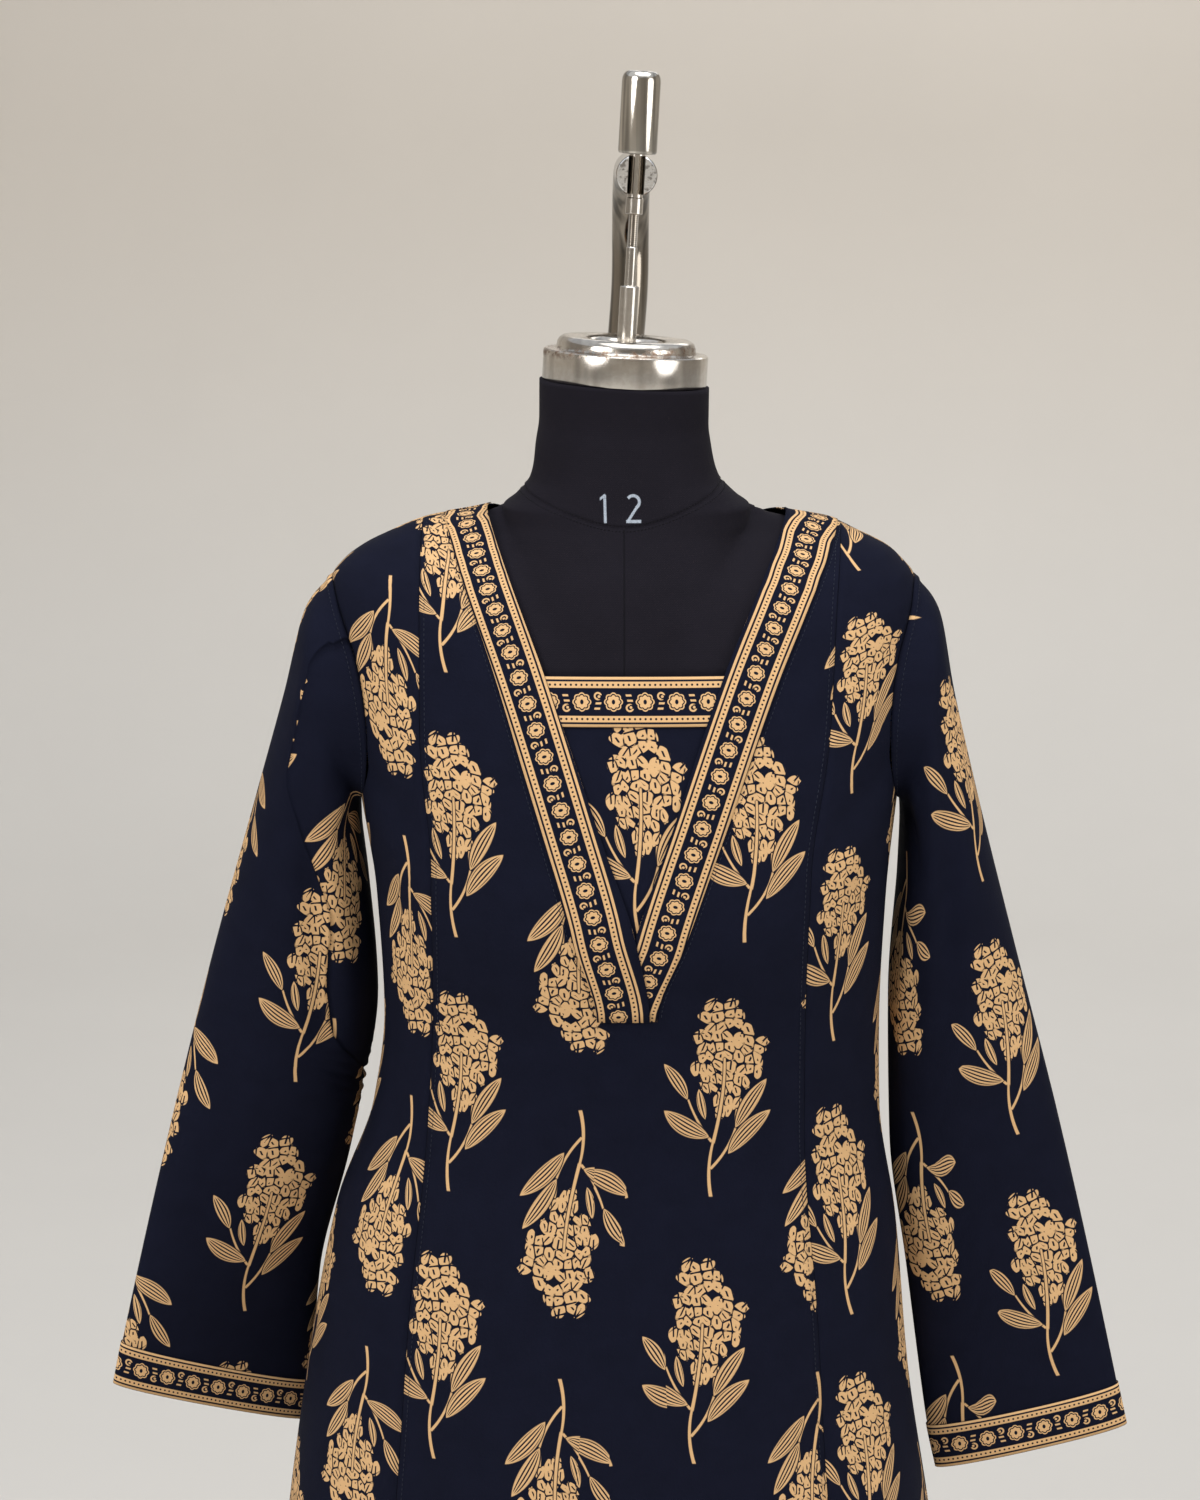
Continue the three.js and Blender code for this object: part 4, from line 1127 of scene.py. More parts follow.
def steel(name, colour, rough, reflection_streaks=0.3, wide=0.22, rust=False, face_y=None):
    """Turned or drawn steel: fine marks, painted reflections as dark streaks along it, smudges, and rust where water
    stands.
    """
    look = Look(name)
    place = look.place()
    x, y, z = look.parts(place)
    rings = look.noise(look.joined(x * 0.02, y * 0.02, z * 6.0), 1.0, 3.0, 0.65)
    smudge = look.noise(place, 0.06, 4.0, 0.6)
    tint = look.mix(smudge, shade(colour, 0.86), shade(colour, 1.1))
    # Painted reflection: dark bands along the steel darken its colour and stand in for the dark surroundings it
    # reflects.
    reflection_bands = look.noise(look.joined(x * wide, y * wide, z * 0.002), 1.0, 1.0, 0.5).soft(0.5, 0.09)
    tint = look.mix(reflection_bands * reflection_streaks, tint, shade(colour, 0.2))
    rough_now = smudge * 0.12 + rings * 0.06 + (rough - 0.08)
    if rust:
        spots = look.noise(place, 0.22, 4.0, 0.7)
        groove = 1.0 - abs(z - (FORM_TOP_Z + CAP_HEIGHT + 1.2)).soft(2.4, 1.6)
        brown = (groove * 0.7 + 0.12) * spots.soft(0.5, 0.08)
        tint = look.mix(brown, tint, RUST)
        rough_now = rough_now + brown * 0.4
    if face_y is not None:
        face = 1.0 - y.soft(face_y, 0.3)
        spots = look.noise(place, 0.35, 3.0, 0.6)
        tint = look.mix(face, tint, look.mix(spots.soft(0.56, 0.05), FILED, PITTED))
        rough_now = rough_now + face * 0.15
    look.set(colour=tint, metallic=1.0, roughness=rough_now, normal=look.bump(rings + smudge * 0.6, 0.12, 0.0001))
    return look.material


def paint(name, colour):
    look = Look(name)
    place = look.place()
    mottle = look.noise(place, 0.8, 3.0, 0.6)
    wear = look.noise(place, 0.02, 4.0, 0.65)
    look.set(
        colour=look.mix(wear, shade(colour, 0.8), shade(colour, 1.3)),
        roughness=0.4 + wear * 0.14, normal=look.bump(mottle, 0.25, 0.0002),
    )
    return look.material


def thread(name, colour):
    look = Look(name)
    place = look.place()
    x, y, z = look.parts(place)
    twist = ((x + y + z) * 9.0).sin()
    look.set(
        colour=look.mix(look.noise(place, 0.3), shade(colour, 0.8), shade(colour, 1.25)),
        roughness=0.7, specular=0.15, normal=look.bump(twist, 0.3, 0.0001),
    )
    return look.material


def plaster(name, low, high):
    """Pale plaster: one tone on the floor, another up the wall."""
    look = Look(name)
    place = look.place()
    _, _, z = look.parts(place)
    cloud = look.noise(place, 0.0016, 4.0, 0.6)
    grain = look.noise(place, 0.12, 3.0, 0.6)
    up = look.number(
        "ShaderNodeMapRange", {"interpolation_type": "SMOOTHSTEP", "clamp": True},
        {"Value": z, "From Min": 0.0, "From Max": 1700.0},
    )
    tones = [look.mix(cloud, shade(tone, 0.97), shade(tone, 1.03)) for tone in (low, high)]
    look.set(colour=look.mix(up, *tones), roughness=0.9, specular=0.2, normal=look.bump(grain, 0.06, 0.001))
    return look.material


def made(name, maker, *values):
    """The material of this name, made on first use."""
    return bpy.data.materials.get(name) or maker(name, *values)


def cotton():
    return made("printed_cotton", printed_cotton, sprig_print)


def border():
    return made("border_cotton", printed_cotton, border_print)


def navy_thread():
    return made("navy_thread", thread, (0.022, 0.026, 0.040))


# ---- Properties


class ClothSizes(bpy.types.PropertyGroup):
    """The kurta's cloth."""

    navy: FloatVectorProperty(name="Ground", description="Colour of the dyed cotton", subtype="COLOR", default=NAVY)
    gold: FloatVectorProperty(name="Print", description="Colour of the printed sprigs", subtype="COLOR", default=GOLD)
    thickness: FloatProperty(
        name="Thickness", description="Thickness of the cotton", subtype="DISTANCE", unit="LENGTH", default=0.0007
    )


class FormSizes(bpy.types.PropertyGroup):
    """The dress form."""

    jersey: FloatVectorProperty(
        name="Jersey", description="Colour of the jersey cover", subtype="COLOR", default=(0.0098, 0.0086, 0.0125)
    )
    segments: IntProperty(name="Segments", description="Corners round the form", default=144)


class SteelSizes(bpy.types.PropertyGroup):
    """The cap, rod, knob and pole."""

    segments: IntProperty(name="Segments", description="Corners round a turned piece", default=72)


# ---- The kurta


def body_patch(angle, z, across, lift=0.0):
    points, normals = on_body(angle, z, lift)
    return points, normals, cloth_uv(points, across)


# Where the sprigs fall on each piece: the upright column nearest its middle, or a hanging one, and the
# heights of that column's sprigs.
PRINT_AT = {
    "front": (54, False, (699, 875, 1051, 1220, 1386)),
    "side_left": (11.5, True, (635, 811, 970, 1153, 1316, 1484)),
    "side_right": (-12.5, False, (611, 787, 962, 1152, 1298, 1440)),
    "back": (-28, False, (699, 875, 1051, 1227, 1403)),
    "sleeve_left": (14, False, (691, 867, 1045, 1221)),
    "sleeve_right": (25, False, (656, 832, 1011, 1187)),
    "inset": (3, False, (1051, 1227, 1403)),
}


def printed_at(patches, name):
    """Shifts and stretches the patches' print coordinates, so that the sprigs fall where this piece has them."""
    column, hanging, heights = PRINT_AT[name]
    heights = np.array([heights[0] - SPRIG_DOWN * 4, *heights, heights[-1] + SPRIG_DOWN * 4], float)
    places = SPRIG_DOWN * np.array([-4.0, *range(len(heights) - 2), len(heights) + 1.0])
    shifted = []
    for points, normals, uv in patches:
        across = uv[..., 0] - column + hanging * SPRIG_ACROSS
        down = np.interp(uv[..., 1], heights, places) - hanging * SPRIG_DROP
        shifted.append((points, normals, np.stack([across, down], -1)))
    return shifted


NECK_SPREAD = 21.0  # how far the V's cut lets the cloth at its right spread outwards


def front_patches():
    """The centre front: on either side the part to the V's strip, the part under it and the one below the V."""
    made_patches = []
    for side in (LEFT, RIGHT):
        seam, outer, inner = seam_edge(side, -SEAM / 2), vee_edge(side, "outer"), vee_edge(side, "inner")
        for columns, first, last, start, end in (
            (14, 0, LAST_ROW, seam, outer),
            (6, 0, V_ROW, outer, inner),
            (6, V_ROW, LAST_ROW, outer, middle_edge),
        ):
            angle, z = ruled(columns, first, last, start, end)
            spread = NECK_SPREAD * smoothstep(z, V_POINT_Z - 70, V_POINT_Z + 40) * (side > 0)
            made_patches.append(body_patch(angle, z, arc(angle, z) - spread))
    return printed_at(made_patches, "front")


def side_patches(side):
    angle, z = ruled(16, 0, LAST_ROW, seam_edge(side, SEAM / 2), outer_edge(side, "front"))
    across = arc(angle, z)
    middle = arc(*grain_line(side, z))
    return printed_at([body_patch(angle, z, across - middle)], "side_left" if side < 0 else "side_right")


def grain_line(side, z):
    """The middle of a side panel, half way from the princess seam to the side seam."""
    name = "left" if side < 0 else "right"
    inner = angle_at(PRINCESS(name, z), z)
    x = body_point(inner, z)[..., 0] * 0.5 + body_point(edge_angle(side, z, "front"), z)[..., 0] * 0.5
    return angle_at(x, z), z


NECK_SCOOP = 2.2  # how round the back's neckline is


def back_patches():
    """The back: on either side the armhole part, the part under the shoulder and the one under the neck."""
    made_patches = []
    for side in (LEFT, RIGHT):
        neck_x = float(VEE("innerLeft" if side < 0 else "innerRight", SHOULDER_Z))
        neck_top = ridge_at(neck_x)
        shoulder, neck = seam_edge(side, 0, "back"), body_edge(side, lambda z, x=neck_x: x + 0 * z, "back")
        pairs = [
            ruled(14, 0, LAST_ROW, outer_edge(side, "back"), shoulder),
            ruled(8, 0, LAST_ROW, shoulder, neck),
        ]
        rows = np.arange(LAST_ROW + 1)
        inwards = np.linspace(0, 1, 15)[None, :] ** 1.7
        z = lerp(row_z(BACK_NECK_Z, rows)[:, None], row_z(neck_top, rows)[:, None], (1 - inwards) ** NECK_SCOOP)
        x = lerp(neck_x, BODY("shift", z), inwards)
        angle = side * np.abs(angle_at(x, z, "back"))
        angle[:, 0] = neck(rows)[0]
        pairs.append((angle, z))
        for angle, z in pairs:
            whole = arc(np.full(z.shape, pi - 1e-6), z) * side
            made_patches.append(body_patch(angle, z, arc(angle, z) - whole))
    return printed_at(made_patches, "back")


# The right sleeve's cloth is eased towards its inner side over this stretch, by this much across and down.
SLEEVE_SHIFT_AT = (-34.0, -2.0)
SLEEVE_SHIFT = (-19.0, 34.5)
# The left sleeve's pleat: where it runs, up the cloth and across it, and what it hides, across and down.
PLEAT_HEIGHTS = (955.0, 985.0, 1010.0, 1045.0, 1098.0, 1180.0)
PLEAT_ACROSS = (150.0, 70.0, 34.0, 23.0, 21.0, -20.0)
PLEAT_HIDES = (64.3, 11.1)
PLEAT_EDGE = 0.0006  # radians on either side of its edge
PLEAT_SINK, PLEAT_WIDTH = 0.9, 22.0  # how far the cloth under its edge lies back, and over what width
PLEAT_TOP = (1190.0, 1250.0)  # it fades out over this stretch


def sleeve_axis(side, last):
    """The sleeve's direction, from below the cap to its end."""
    table = SLEEVE[side]
    run = [
        table("outer" + axis, float(last)) + table("inner" + axis, float(last))
        - table("outer" + axis, 2.0) - table("inner" + axis, 2.0)
        for axis in "XZ"
    ]
    return np.array([run[0], 0.0, run[1]]) / np.hypot(*run)


def open_turn(turn):
    """The same turns, with the full turn read as none, so that a sleeve's two edges meet."""
    return np.where(turn >= 2 * pi - 1e-9, 0, turn)


def pleat_turns(fine, across, height, columns):
    """Turns of a sleeve's columns, three of them drawn together on the pleat's edge, and the first of the three."""
    beyond = across > np.interp(height, PLEAT_HEIGHTS, PLEAT_ACROSS)
    beyond[:, -3] = True
    edge = fine[0, np.argmax(beyond, axis=1)]
    column = round(float(edge.mean()) / (2 * pi) * columns)
    places = [0, column, column + 1, column + 2, columns]
    turns = [
        np.interp(np.arange(columns + 1), places, [0, at - PLEAT_EDGE, at, at + PLEAT_EDGE, 2 * pi]) for at in edge
    ]
    return np.array(turns), column


def sleeve_patches(side, first=0.0, last=float(SECTIONS), rows=110, columns=96, lift=0.0):
    """A sleeve's cloth between two sections, its print laid along the sleeve."""
    fine, level = np.meshgrid(np.linspace(0, 2 * pi, 2 * columns + 1), np.linspace(first, last, rows + 1))
    fine_points, _ = on_sleeve(side, open_turn(fine), level)
    axis = sleeve_axis(side, last)
    steps = np.diff(fine_points, axis=1)
    steps = np.sqrt(np.maximum((steps**2).sum(-1) - (steps @ axis) ** 2, 0))
    run = np.concatenate([np.zeros((rows + 1, 1)), np.cumsum(steps, axis=1)], axis=1)
    fine_across = (run - run[:, [columns // 2]]) * -side
    turn, column = fine[:, ::2], None
    if side < 0:
        turn, column = pleat_turns(fine, fine_across, -(fine_points @ axis), columns)
    across = np.array([np.interp(*row) for row in zip(turn, fine, fine_across)])
    if side < 0:
        order = np.arange(columns + 1)
        past = across - across[:, [column + 1]]
        height = -(fine_points[:, [columns]] @ axis)
        sunk = (order > column) * (1 - smoothstep(past, 0, PLEAT_WIDTH))
        lift = lift - PLEAT_SINK * sunk * (1 - smoothstep(height, *PLEAT_TOP))
        moved, (aside, below) = order > column + 1, PLEAT_HIDES
    else:
        moved, (aside, below) = 1 - smoothstep(across, *SLEEVE_SHIFT_AT), SLEEVE_SHIFT
    points, normals = on_sleeve(side, open_turn(turn), level[:, ::2], lift)
    uv = np.stack([across + aside * moved, below * moved - points @ axis], -1)
    return [(points, normals, uv)]


# The strips along the V: how far their print is drawn together, how much more near the shoulder and down to
# what length, and where it starts.
BAND_EASE = {LEFT: (1.13, 0.21, 130.0, 0.0), RIGHT: (1.144, 0.21, 130.0, 3.2)}
INSET_START = -10.4  # where the inset strip's print starts
BAND_COLUMNS = 10
BAND_LIFT = 0.95
LAP = 1.1  # how much higher the strip on top lies near the V's point


def band_uv(points, centre_column, side):
    """Coordinates on a border strip: along it, and across it from its outer edge."""
    line = points[:, centre_column]
    steps = np.linalg.norm(np.diff(line, axis=0), axis=-1)
    run = np.r_[0, np.cumsum(steps)]
    ahead = np.gradient(line, axis=0)
    ahead /= np.linalg.norm(ahead, axis=-1, keepdims=True)
    off = points - line[:, None, :]
    along = np.einsum("ijk,ik->ij", off, ahead)
    across = np.sqrt(np.maximum((off**2).sum(-1) - along**2, 0))
    sign = np.sign(np.arange(points.shape[1]) - centre_column)[None, :]
    run = run[:, None] + along
    ease, more, reach, start = BAND_EASE[side]
    return np.stack([run * ease + np.minimum(run, reach) * more + start, BAND_MIDDLE + sign * across], -1)


def neck_band_patches(side):
    angle, z = ruled(BAND_COLUMNS, 0, V_END_ROW, vee_edge(side, "outer"), vee_edge(side, "inner"))
    lift = np.full(z.shape, BAND_LIFT)
    if side < 0:
        lift = lift + LAP * smoothstep(-z, -V_POINT_Z - 45, -V_POINT_Z)
    points, normals = on_body(angle, z, lift)
    return [(points, normals, band_uv(points, BAND_COLUMNS // 2, side))]


def inset_patches(last_z, lift=0.0):
    z = np.linspace(INSET_TOP_Z, last_z, 41 if last_z < 1280 else 13)[:, None] + np.zeros((1, 31))
    across = np.linspace(0, 1, 31)[None, :]
    left, right = angle_at(VEE("innerLeft", z) - 3.0, z), angle_at(VEE("innerRight", z) + 3.0, z)
    angle = lerp(left, right, across)
    points, normals = on_body(angle, z, lift)
    return points, normals, angle, z


class KURTA_OT_front(bpy.types.Operator):
    """Make the centre front and the two side fronts"""

    bl_idname = "kurta.front"
    bl_label = "Front panels"

    def execute(self, context):
        thickness = context.scene.kurta_cloth.thickness / MM
        patches = front_patches()
        piece = shell("kurta_front", patches, cotton(), "cloth", "front_center", thickness=thickness)
        flat_area(patches)
        for side, word in ((LEFT, "left"), (RIGHT, "right")):
            patches = side_patches(side)
            piece = shell(f"kurta_side_{word}", patches, cotton(), "cloth", f"front_side_{word}", thickness=thickness)
            flat_area(patches)
        return {"FINISHED"}


class KURTA_OT_back(bpy.types.Operator):
    """Make the back panel"""

    bl_idname = "kurta.back"
    bl_label = "Back panel"

    def execute(self, context):
        thickness = context.scene.kurta_cloth.thickness / MM
        patches = back_patches()
        piece = shell("kurta_back", patches, cotton(), "cloth", "back", thickness=thickness)
        flat_area(patches)
        return {"FINISHED"}


CUFF_ROWS = 10


class KURTA_OT_sleeves(bpy.types.Operator):
    """Make the sleeves and the border strips round their ends"""

    bl_idname = "kurta.sleeves"
    bl_label = "Sleeves"

    def execute(self, context):
        thickness = context.scene.kurta_cloth.thickness / MM
        for side, word in ((LEFT, "left"), (RIGHT, "right")):
            patches = printed_at(sleeve_patches(side), f"sleeve_{word}")
            piece = shell(f"kurta_sleeve_{word}", patches, cotton(), "cloth", f"sleeve_{word}", thickness=thickness)
            flat_area(patches)
            points, normals, _ = sleeve_patches(side, CUFF_SECTION, SECTIONS, CUFF_ROWS, lift=BAND_LIFT)[0]
            steps = np.linalg.norm(np.diff(points, axis=1), axis=-1)
            run = np.concatenate([np.zeros((CUFF_ROWS + 1, 1)), np.cumsum(steps, axis=1)], axis=1)
            down = np.cumsum(np.linalg.norm(np.diff(points, axis=0, prepend=points[:1]), axis=-1), axis=0)
            patches = [(points, normals, np.stack([run, down / down[-1] * 2 * BAND_MIDDLE], -1))]
            piece = shell(f"cuff_border_{word}", patches, border(), "border", f"cuff_band_{word}", thickness=STRIP_WALL)
        return {"FINISHED"}


INSET_BELOW, INSET_SUNK, INSET_BAND_LIFT = 8.0, 0.75, 0.3
STRIP_WALL, INSET_STRIP_WALL = 0.55, 0.5


class KURTA_OT_neck(bpy.types.Operator):
    """Make the inset, its border strip and the border strips along the V"""

    bl_idname = "kurta.neck"
    bl_label = "Neckline"

    def execute(self, context):
        thickness = context.scene.kurta_cloth.thickness / MM
        points, normals, angle, z = inset_patches(V_POINT_Z - INSET_BELOW, -INSET_SUNK)
        patches = printed_at([(points, normals, np.stack([arc(angle, z), z], -1))], "inset")
        piece = shell("kurta_inset", patches, cotton(), "cloth", "neck_inset", thickness=thickness)
        flat_area(patches)
        points, normals, angle, z = inset_patches(INSET_TOP_Z - BAND, INSET_BAND_LIFT)
        down = (INSET_TOP_Z - z) / BAND * 2 * BAND_MIDDLE
        patches = [(points, normals, np.stack([arc(angle, z) + INSET_START, down], -1))]
        piece = shell("inset_border", patches, border(), "border", "inset_band", thickness=INSET_STRIP_WALL)
        for side, word in ((LEFT, "left"), (RIGHT, "right")):
            patches = neck_band_patches(side)
            piece = shell(f"neck_border_{word}", patches, border(), "border", f"neck_band_{word}", thickness=STRIP_WALL)
            flat_area(patches)
        return {"FINISHED"}


def body_run(x, first, last, offset):
    """A line down the front for stitches, beside the seam at x(z)."""
    z = row_z(ridge_at(float(x(SHOULDER_Z))), np.arange(first, last + 1))
    z = z[z < z[0] - 0.2]
    return on_body(angle_at(x(z) + offset, z), z)


BESIDE_STRIP, BESIDE_SEAM = 2.6, 3.2
HEM_TURNED = 18.0
BELOW_ARMHOLE = 0.16  # of a sleeve's section


class KURTA_OT_stitches(bpy.types.Operator):
    """Make the rows of stitches"""

    bl_idname = "kurta.stitches"
    bl_label = "Stitches"

    def execute(self, context):
        runs = []
        for side, word in ((LEFT, "left"), (RIGHT, "right")):
            runs.append(body_run(partial(VEE, "outer" + word.title()), 2, V_END_ROW, side * BESIDE_STRIP))
            runs.append(body_run(partial(PRINCESS, word), 2, LAST_ROW, side * -BESIDE_SEAM))
        stitches("seam_stitches", runs, navy_thread())
        angle = np.linspace(-pi, pi, 900)
        stitches("hem_stitches", [on_body(angle, np.full(angle.shape, HEM_Z + HEM_TURNED))], navy_thread())
        turn = np.linspace(0, 2 * pi, 300)
        runs = [on_sleeve(side, turn, np.full(turn.shape, BELOW_ARMHOLE)) for side in (LEFT, RIGHT)]
        stitches("armhole_stitches", runs, navy_thread())
        return {"FINISHED"}


# ---- The form

FORM_FOOT_Z, FORM_EDGE_Z = 708.0, 716.0  # the form's underside, and where its rounded edge starts
SEAM_LOW_Z = 1406.0  # the neck seam's lowest place, in the middle of the front
SEAM_RISE = 21.0  # how much higher it is at the sides
SEAM_TILT = 2.0  # how much higher still at the right
NECK_SEAM, FRONT_SEAM = (0.9, 1.3), (0.35, 1.0)  # depth and half width of the cover's seams
STITCHED_BESIDE = 1.7


def torso_section(z):
    drop = CLOTH_WALL + np.where(z > FORM_FIT_Z, REST_GAP, LOOSE_GAP)
    return [np.minimum(TORSO(name, z), BODY(name, z + drop) - drop) for name in ("half", "front", "back")]


def radius_of(section, angle):
    half, front, behind = section
    back_side = np.abs(angle) > SIDE
    n = np.where(back_side, FULLNESS["back"], FULLNESS["front"])
    depth = np.where(back_side, behind, front)
    return ((np.abs(np.sin(angle)) / half) ** n + (np.abs(np.cos(angle)) / depth) ** n) ** (-1 / n)


def form_point(angle, z):
    neck = np.where(z > NECK_START_Z, radius_of([NECK(c, z) for c in ("half", "front", "back")], angle), 0)
    body = np.where(z < NECK_ONLY_Z, radius_of(torso_section(z), angle), 0)
    blend = np.where((neck > 0) & (body > 0), NECK_BLEND, 0)
    larger = (neck + body + np.hypot(neck - body, blend)) / 2
    shift = np.where(z > NECK_ONLY_Z, NECK("shift", z), BODY("shift", z))
    x = shift + larger * np.sin(angle)
    lean = tan(HANG_LEAN) * smoothstep(z, LEAN_START_Z, FORM_TOP_Z)
    return np.stack([x, -larger * np.cos(angle), z - lean * (x - HANG_X)], -1)


def neck_seam_z(angle):
    return SEAM_LOW_Z + SEAM_RISE * (1 - np.cos(angle) ** 3) + SEAM_TILT * np.sin(angle)


class KURTA_OT_form(bpy.types.Operator):
    """Make the limbless form under its jersey cover"""

    bl_idname = "kurta.form"
    bl_label = "Dress form"

    def execute(self, context):
        columns = context.scene.kurta_form.segments
        z = np.concatenate([
            np.linspace(FORM_FOOT_Z, FORM_EDGE_Z, 5)[:-1], np.linspace(FORM_EDGE_Z, 1300, 74)[:-1],
            np.linspace(1300, 1398, 30)[:-1], np.linspace(1398, 1456, 66)[:-1], np.linspace(1456, FORM_TOP_Z, 16),
        ])
        angle = np.linspace(-pi, pi, columns + 1)
        angles, heights = np.meshgrid(angle, z)
        points = form_point(angles, heights)
        above = heights - neck_seam_z(angles)
        groove = -NECK_SEAM[0] * np.exp(-((above / NECK_SEAM[1]) ** 2))
        front_seam = -FRONT_SEAM[0] * np.exp(-((angles * points[..., 1] / FRONT_SEAM[1]) ** 2)) * (above < 0)
        outwards = np.stack([np.sin(angles), -np.cos(angles), 0 * angles], -1)
        edge = (smoothstep(heights, FORM_FOOT_Z, FORM_EDGE_Z) - 1) * (FORM_EDGE_Z - FORM_FOOT_Z)
        points = points + outwards * (groove + front_seam + edge)[..., None]
        points[:, -1] = points[:, 0]
        uv = np.stack([angles * 60, heights], -1)
        bm = bmesh.new()
        layer = bm.loops.layers.uv.new("cloth")
        patch(bm, points, outwards, uv, layer)
        bmesh.ops.remove_doubles(bm, verts=bm.verts, dist=0.02 * MM)
        rims = [edge for edge in bm.edges if edge.is_boundary]
        bmesh.ops.holes_fill(bm, edges=rims, sides=0)
        finish(bm, "form_cover", made("jersey_knit", jersey), "jersey", "form_torso")
        angle = np.linspace(-pi * 0.9, pi * 0.9, 400)
        lines = []
        for above in (STITCHED_BESIDE, -STITCHED_BESIDE):
            z = neck_seam_z(angle) + above
            lines.append((form_point(angle, z), square_to(form_point, angle, z)))
        stitches("neck_seam_stitches", lines, made("black_thread", thread, (0.0015, 0.0015, 0.002)), 1.5, 2.3, 0.2)
        return {"FINISHED"}


# ---- The steel

THREAD_PITCH = 1.25


class KURTA_OT_hanger(bpy.types.Operator):
    """Make the neck cap, the threaded rod and the knob"""

    bl_idname = "kurta.hanger"
    bl_label = "Cap, rod and knob"

    def execute(self, context):
        segments = context.scene.kurta_steel.segments
        bright = made("turned_steel", steel, (0.70, 0.66, 0.60), 0.13, 0.5, 0.085, True)
        cap = [
            (0, 0.3), (51.6, 0.3), (52.2, 0.6), (52.5, 1.3), (52.5, 18.2), (52.2, 19.3), (51.2, 20.0), (46.6, 20.2),
            (45.2, 20.6), (44.5, 21.6), (44.2, 23.0), (44.0, 24.6), (42.9, 26.8), (40.7, 28.3), (37.5, 28.5),
            (30.0, 27.9), (24.5, 27.0), (22.6, 26.0), (21.5, 24.5), (20.8, 22.6), (18.5, 20.6), (0, 20.0),
        ]
        turned("cap_ring", cap, bright, "steel", "neck_cap", segments=segments * 2, lean=True)
        rod = [(0, 20.3), (5.6, 20.3), (6.0, 20.7), (6.0, 60.4), (5.5, 61.0), (3.9, 61.2), (3.5, 61.6), (3.5, 85.0)]
        root, crest = 2.75, 3.25
        height = 86.0
        while height < 105.0:
            rod += [(root, height), (crest, height + 0.5), (crest, height + 0.7), (root, height + 1.2)]
            height += THREAD_PITCH
        rod += [
            (root, 106.0), (5.1, 106.0), (5.5, 106.4), (5.5, 115.8), (5.1, 116.2), (4.9, 116.4), (4.9, 143.0),
            (0, 143.0),
        ]
        turned("hang_rod", rod, bright, "steel", "hanging_rod", segments=segments, lean=True)
        dark = made("knob_steel", steel, (0.66, 0.62, 0.55), 0.1, 0.65, 0.2)
        knob = [
            (0, 143.3), (4.9, 143.3), (10.9, 143.3), (11.6, 143.6), (12.1, 144.4), (12.25, 145.3), (12.25, 187.6),
            (12.0, 189.9), (11.3, 191.8), (10.0, 193.3), (8.2, 194.1), (0, 194.3),
        ]
        turned("round_knob", knob, dark, "dark_chrome", "knob", segments=segments, lean=True)
        return {"FINISHED"}


def bezier(points, t):
    a, b, c, d = (np.array(p, float) for p in points)
    t = t[:, None]
    return a * (1 - t) ** 3 + 3 * b * t * (1 - t) ** 2 + 3 * c * t * t * (1 - t) + d * t**3


def pole_line():
    """The pole's middle line: straight up, leaning at its head, then bent forward to its end."""
    y = POLE_Y
    straight = np.linspace((0, y, BASE_TOP + 0.3), (0, y, POLE_TOP), 16)
    lean = bezier((
        (0, y, POLE_TOP), (0, y, POLE_TOP + BEND), (ARM_START_X, y, CROOK_Z - 1.7 * BEND),
        (ARM_START_X, y, CROOK_Z - BEND),
    ), np.linspace(0, 1, 13)[1:])
    curve = bezier((
        (ARM_START_X, y, CROOK_Z - BEND), (ARM_START_X, y, CROOK_Z - BEND * 0.45),
        (ARM_START_X, y - BEND * 0.55, CROOK_Z), (ARM_X, y - BEND, CROOK_Z),
    ), np.linspace(0, 1, 25)[1:])
    arm = np.linspace((ARM_X, y - BEND, CROOK_Z), (ARM_X, ARM_END_Y, CROOK_Z), 12)[1:]
    return np.concatenate([straight, lean, curve, arm])


POLE_SIDES = 48
CHAMFER = 1.0
SLOT_WIDTH, SLOT_END_Y = 10.6, 8.0
COLLAR = ((13.6, 0), (26.2, 0), (27, 0.8), (27, 24), (26.4, 25.4), (25, 26), (14.4, 26), (13.6, 25.2), (13.6, 0))
# The base plate, in metres: its sizes, how far back its middle is, and its corners' and rims' roundings.
PLATE = (0.4, 0.45, 0.01)
PLATE_BACK = 0.045
PLATE_CORNER, PLATE_RIM = 0.034, 0.0012


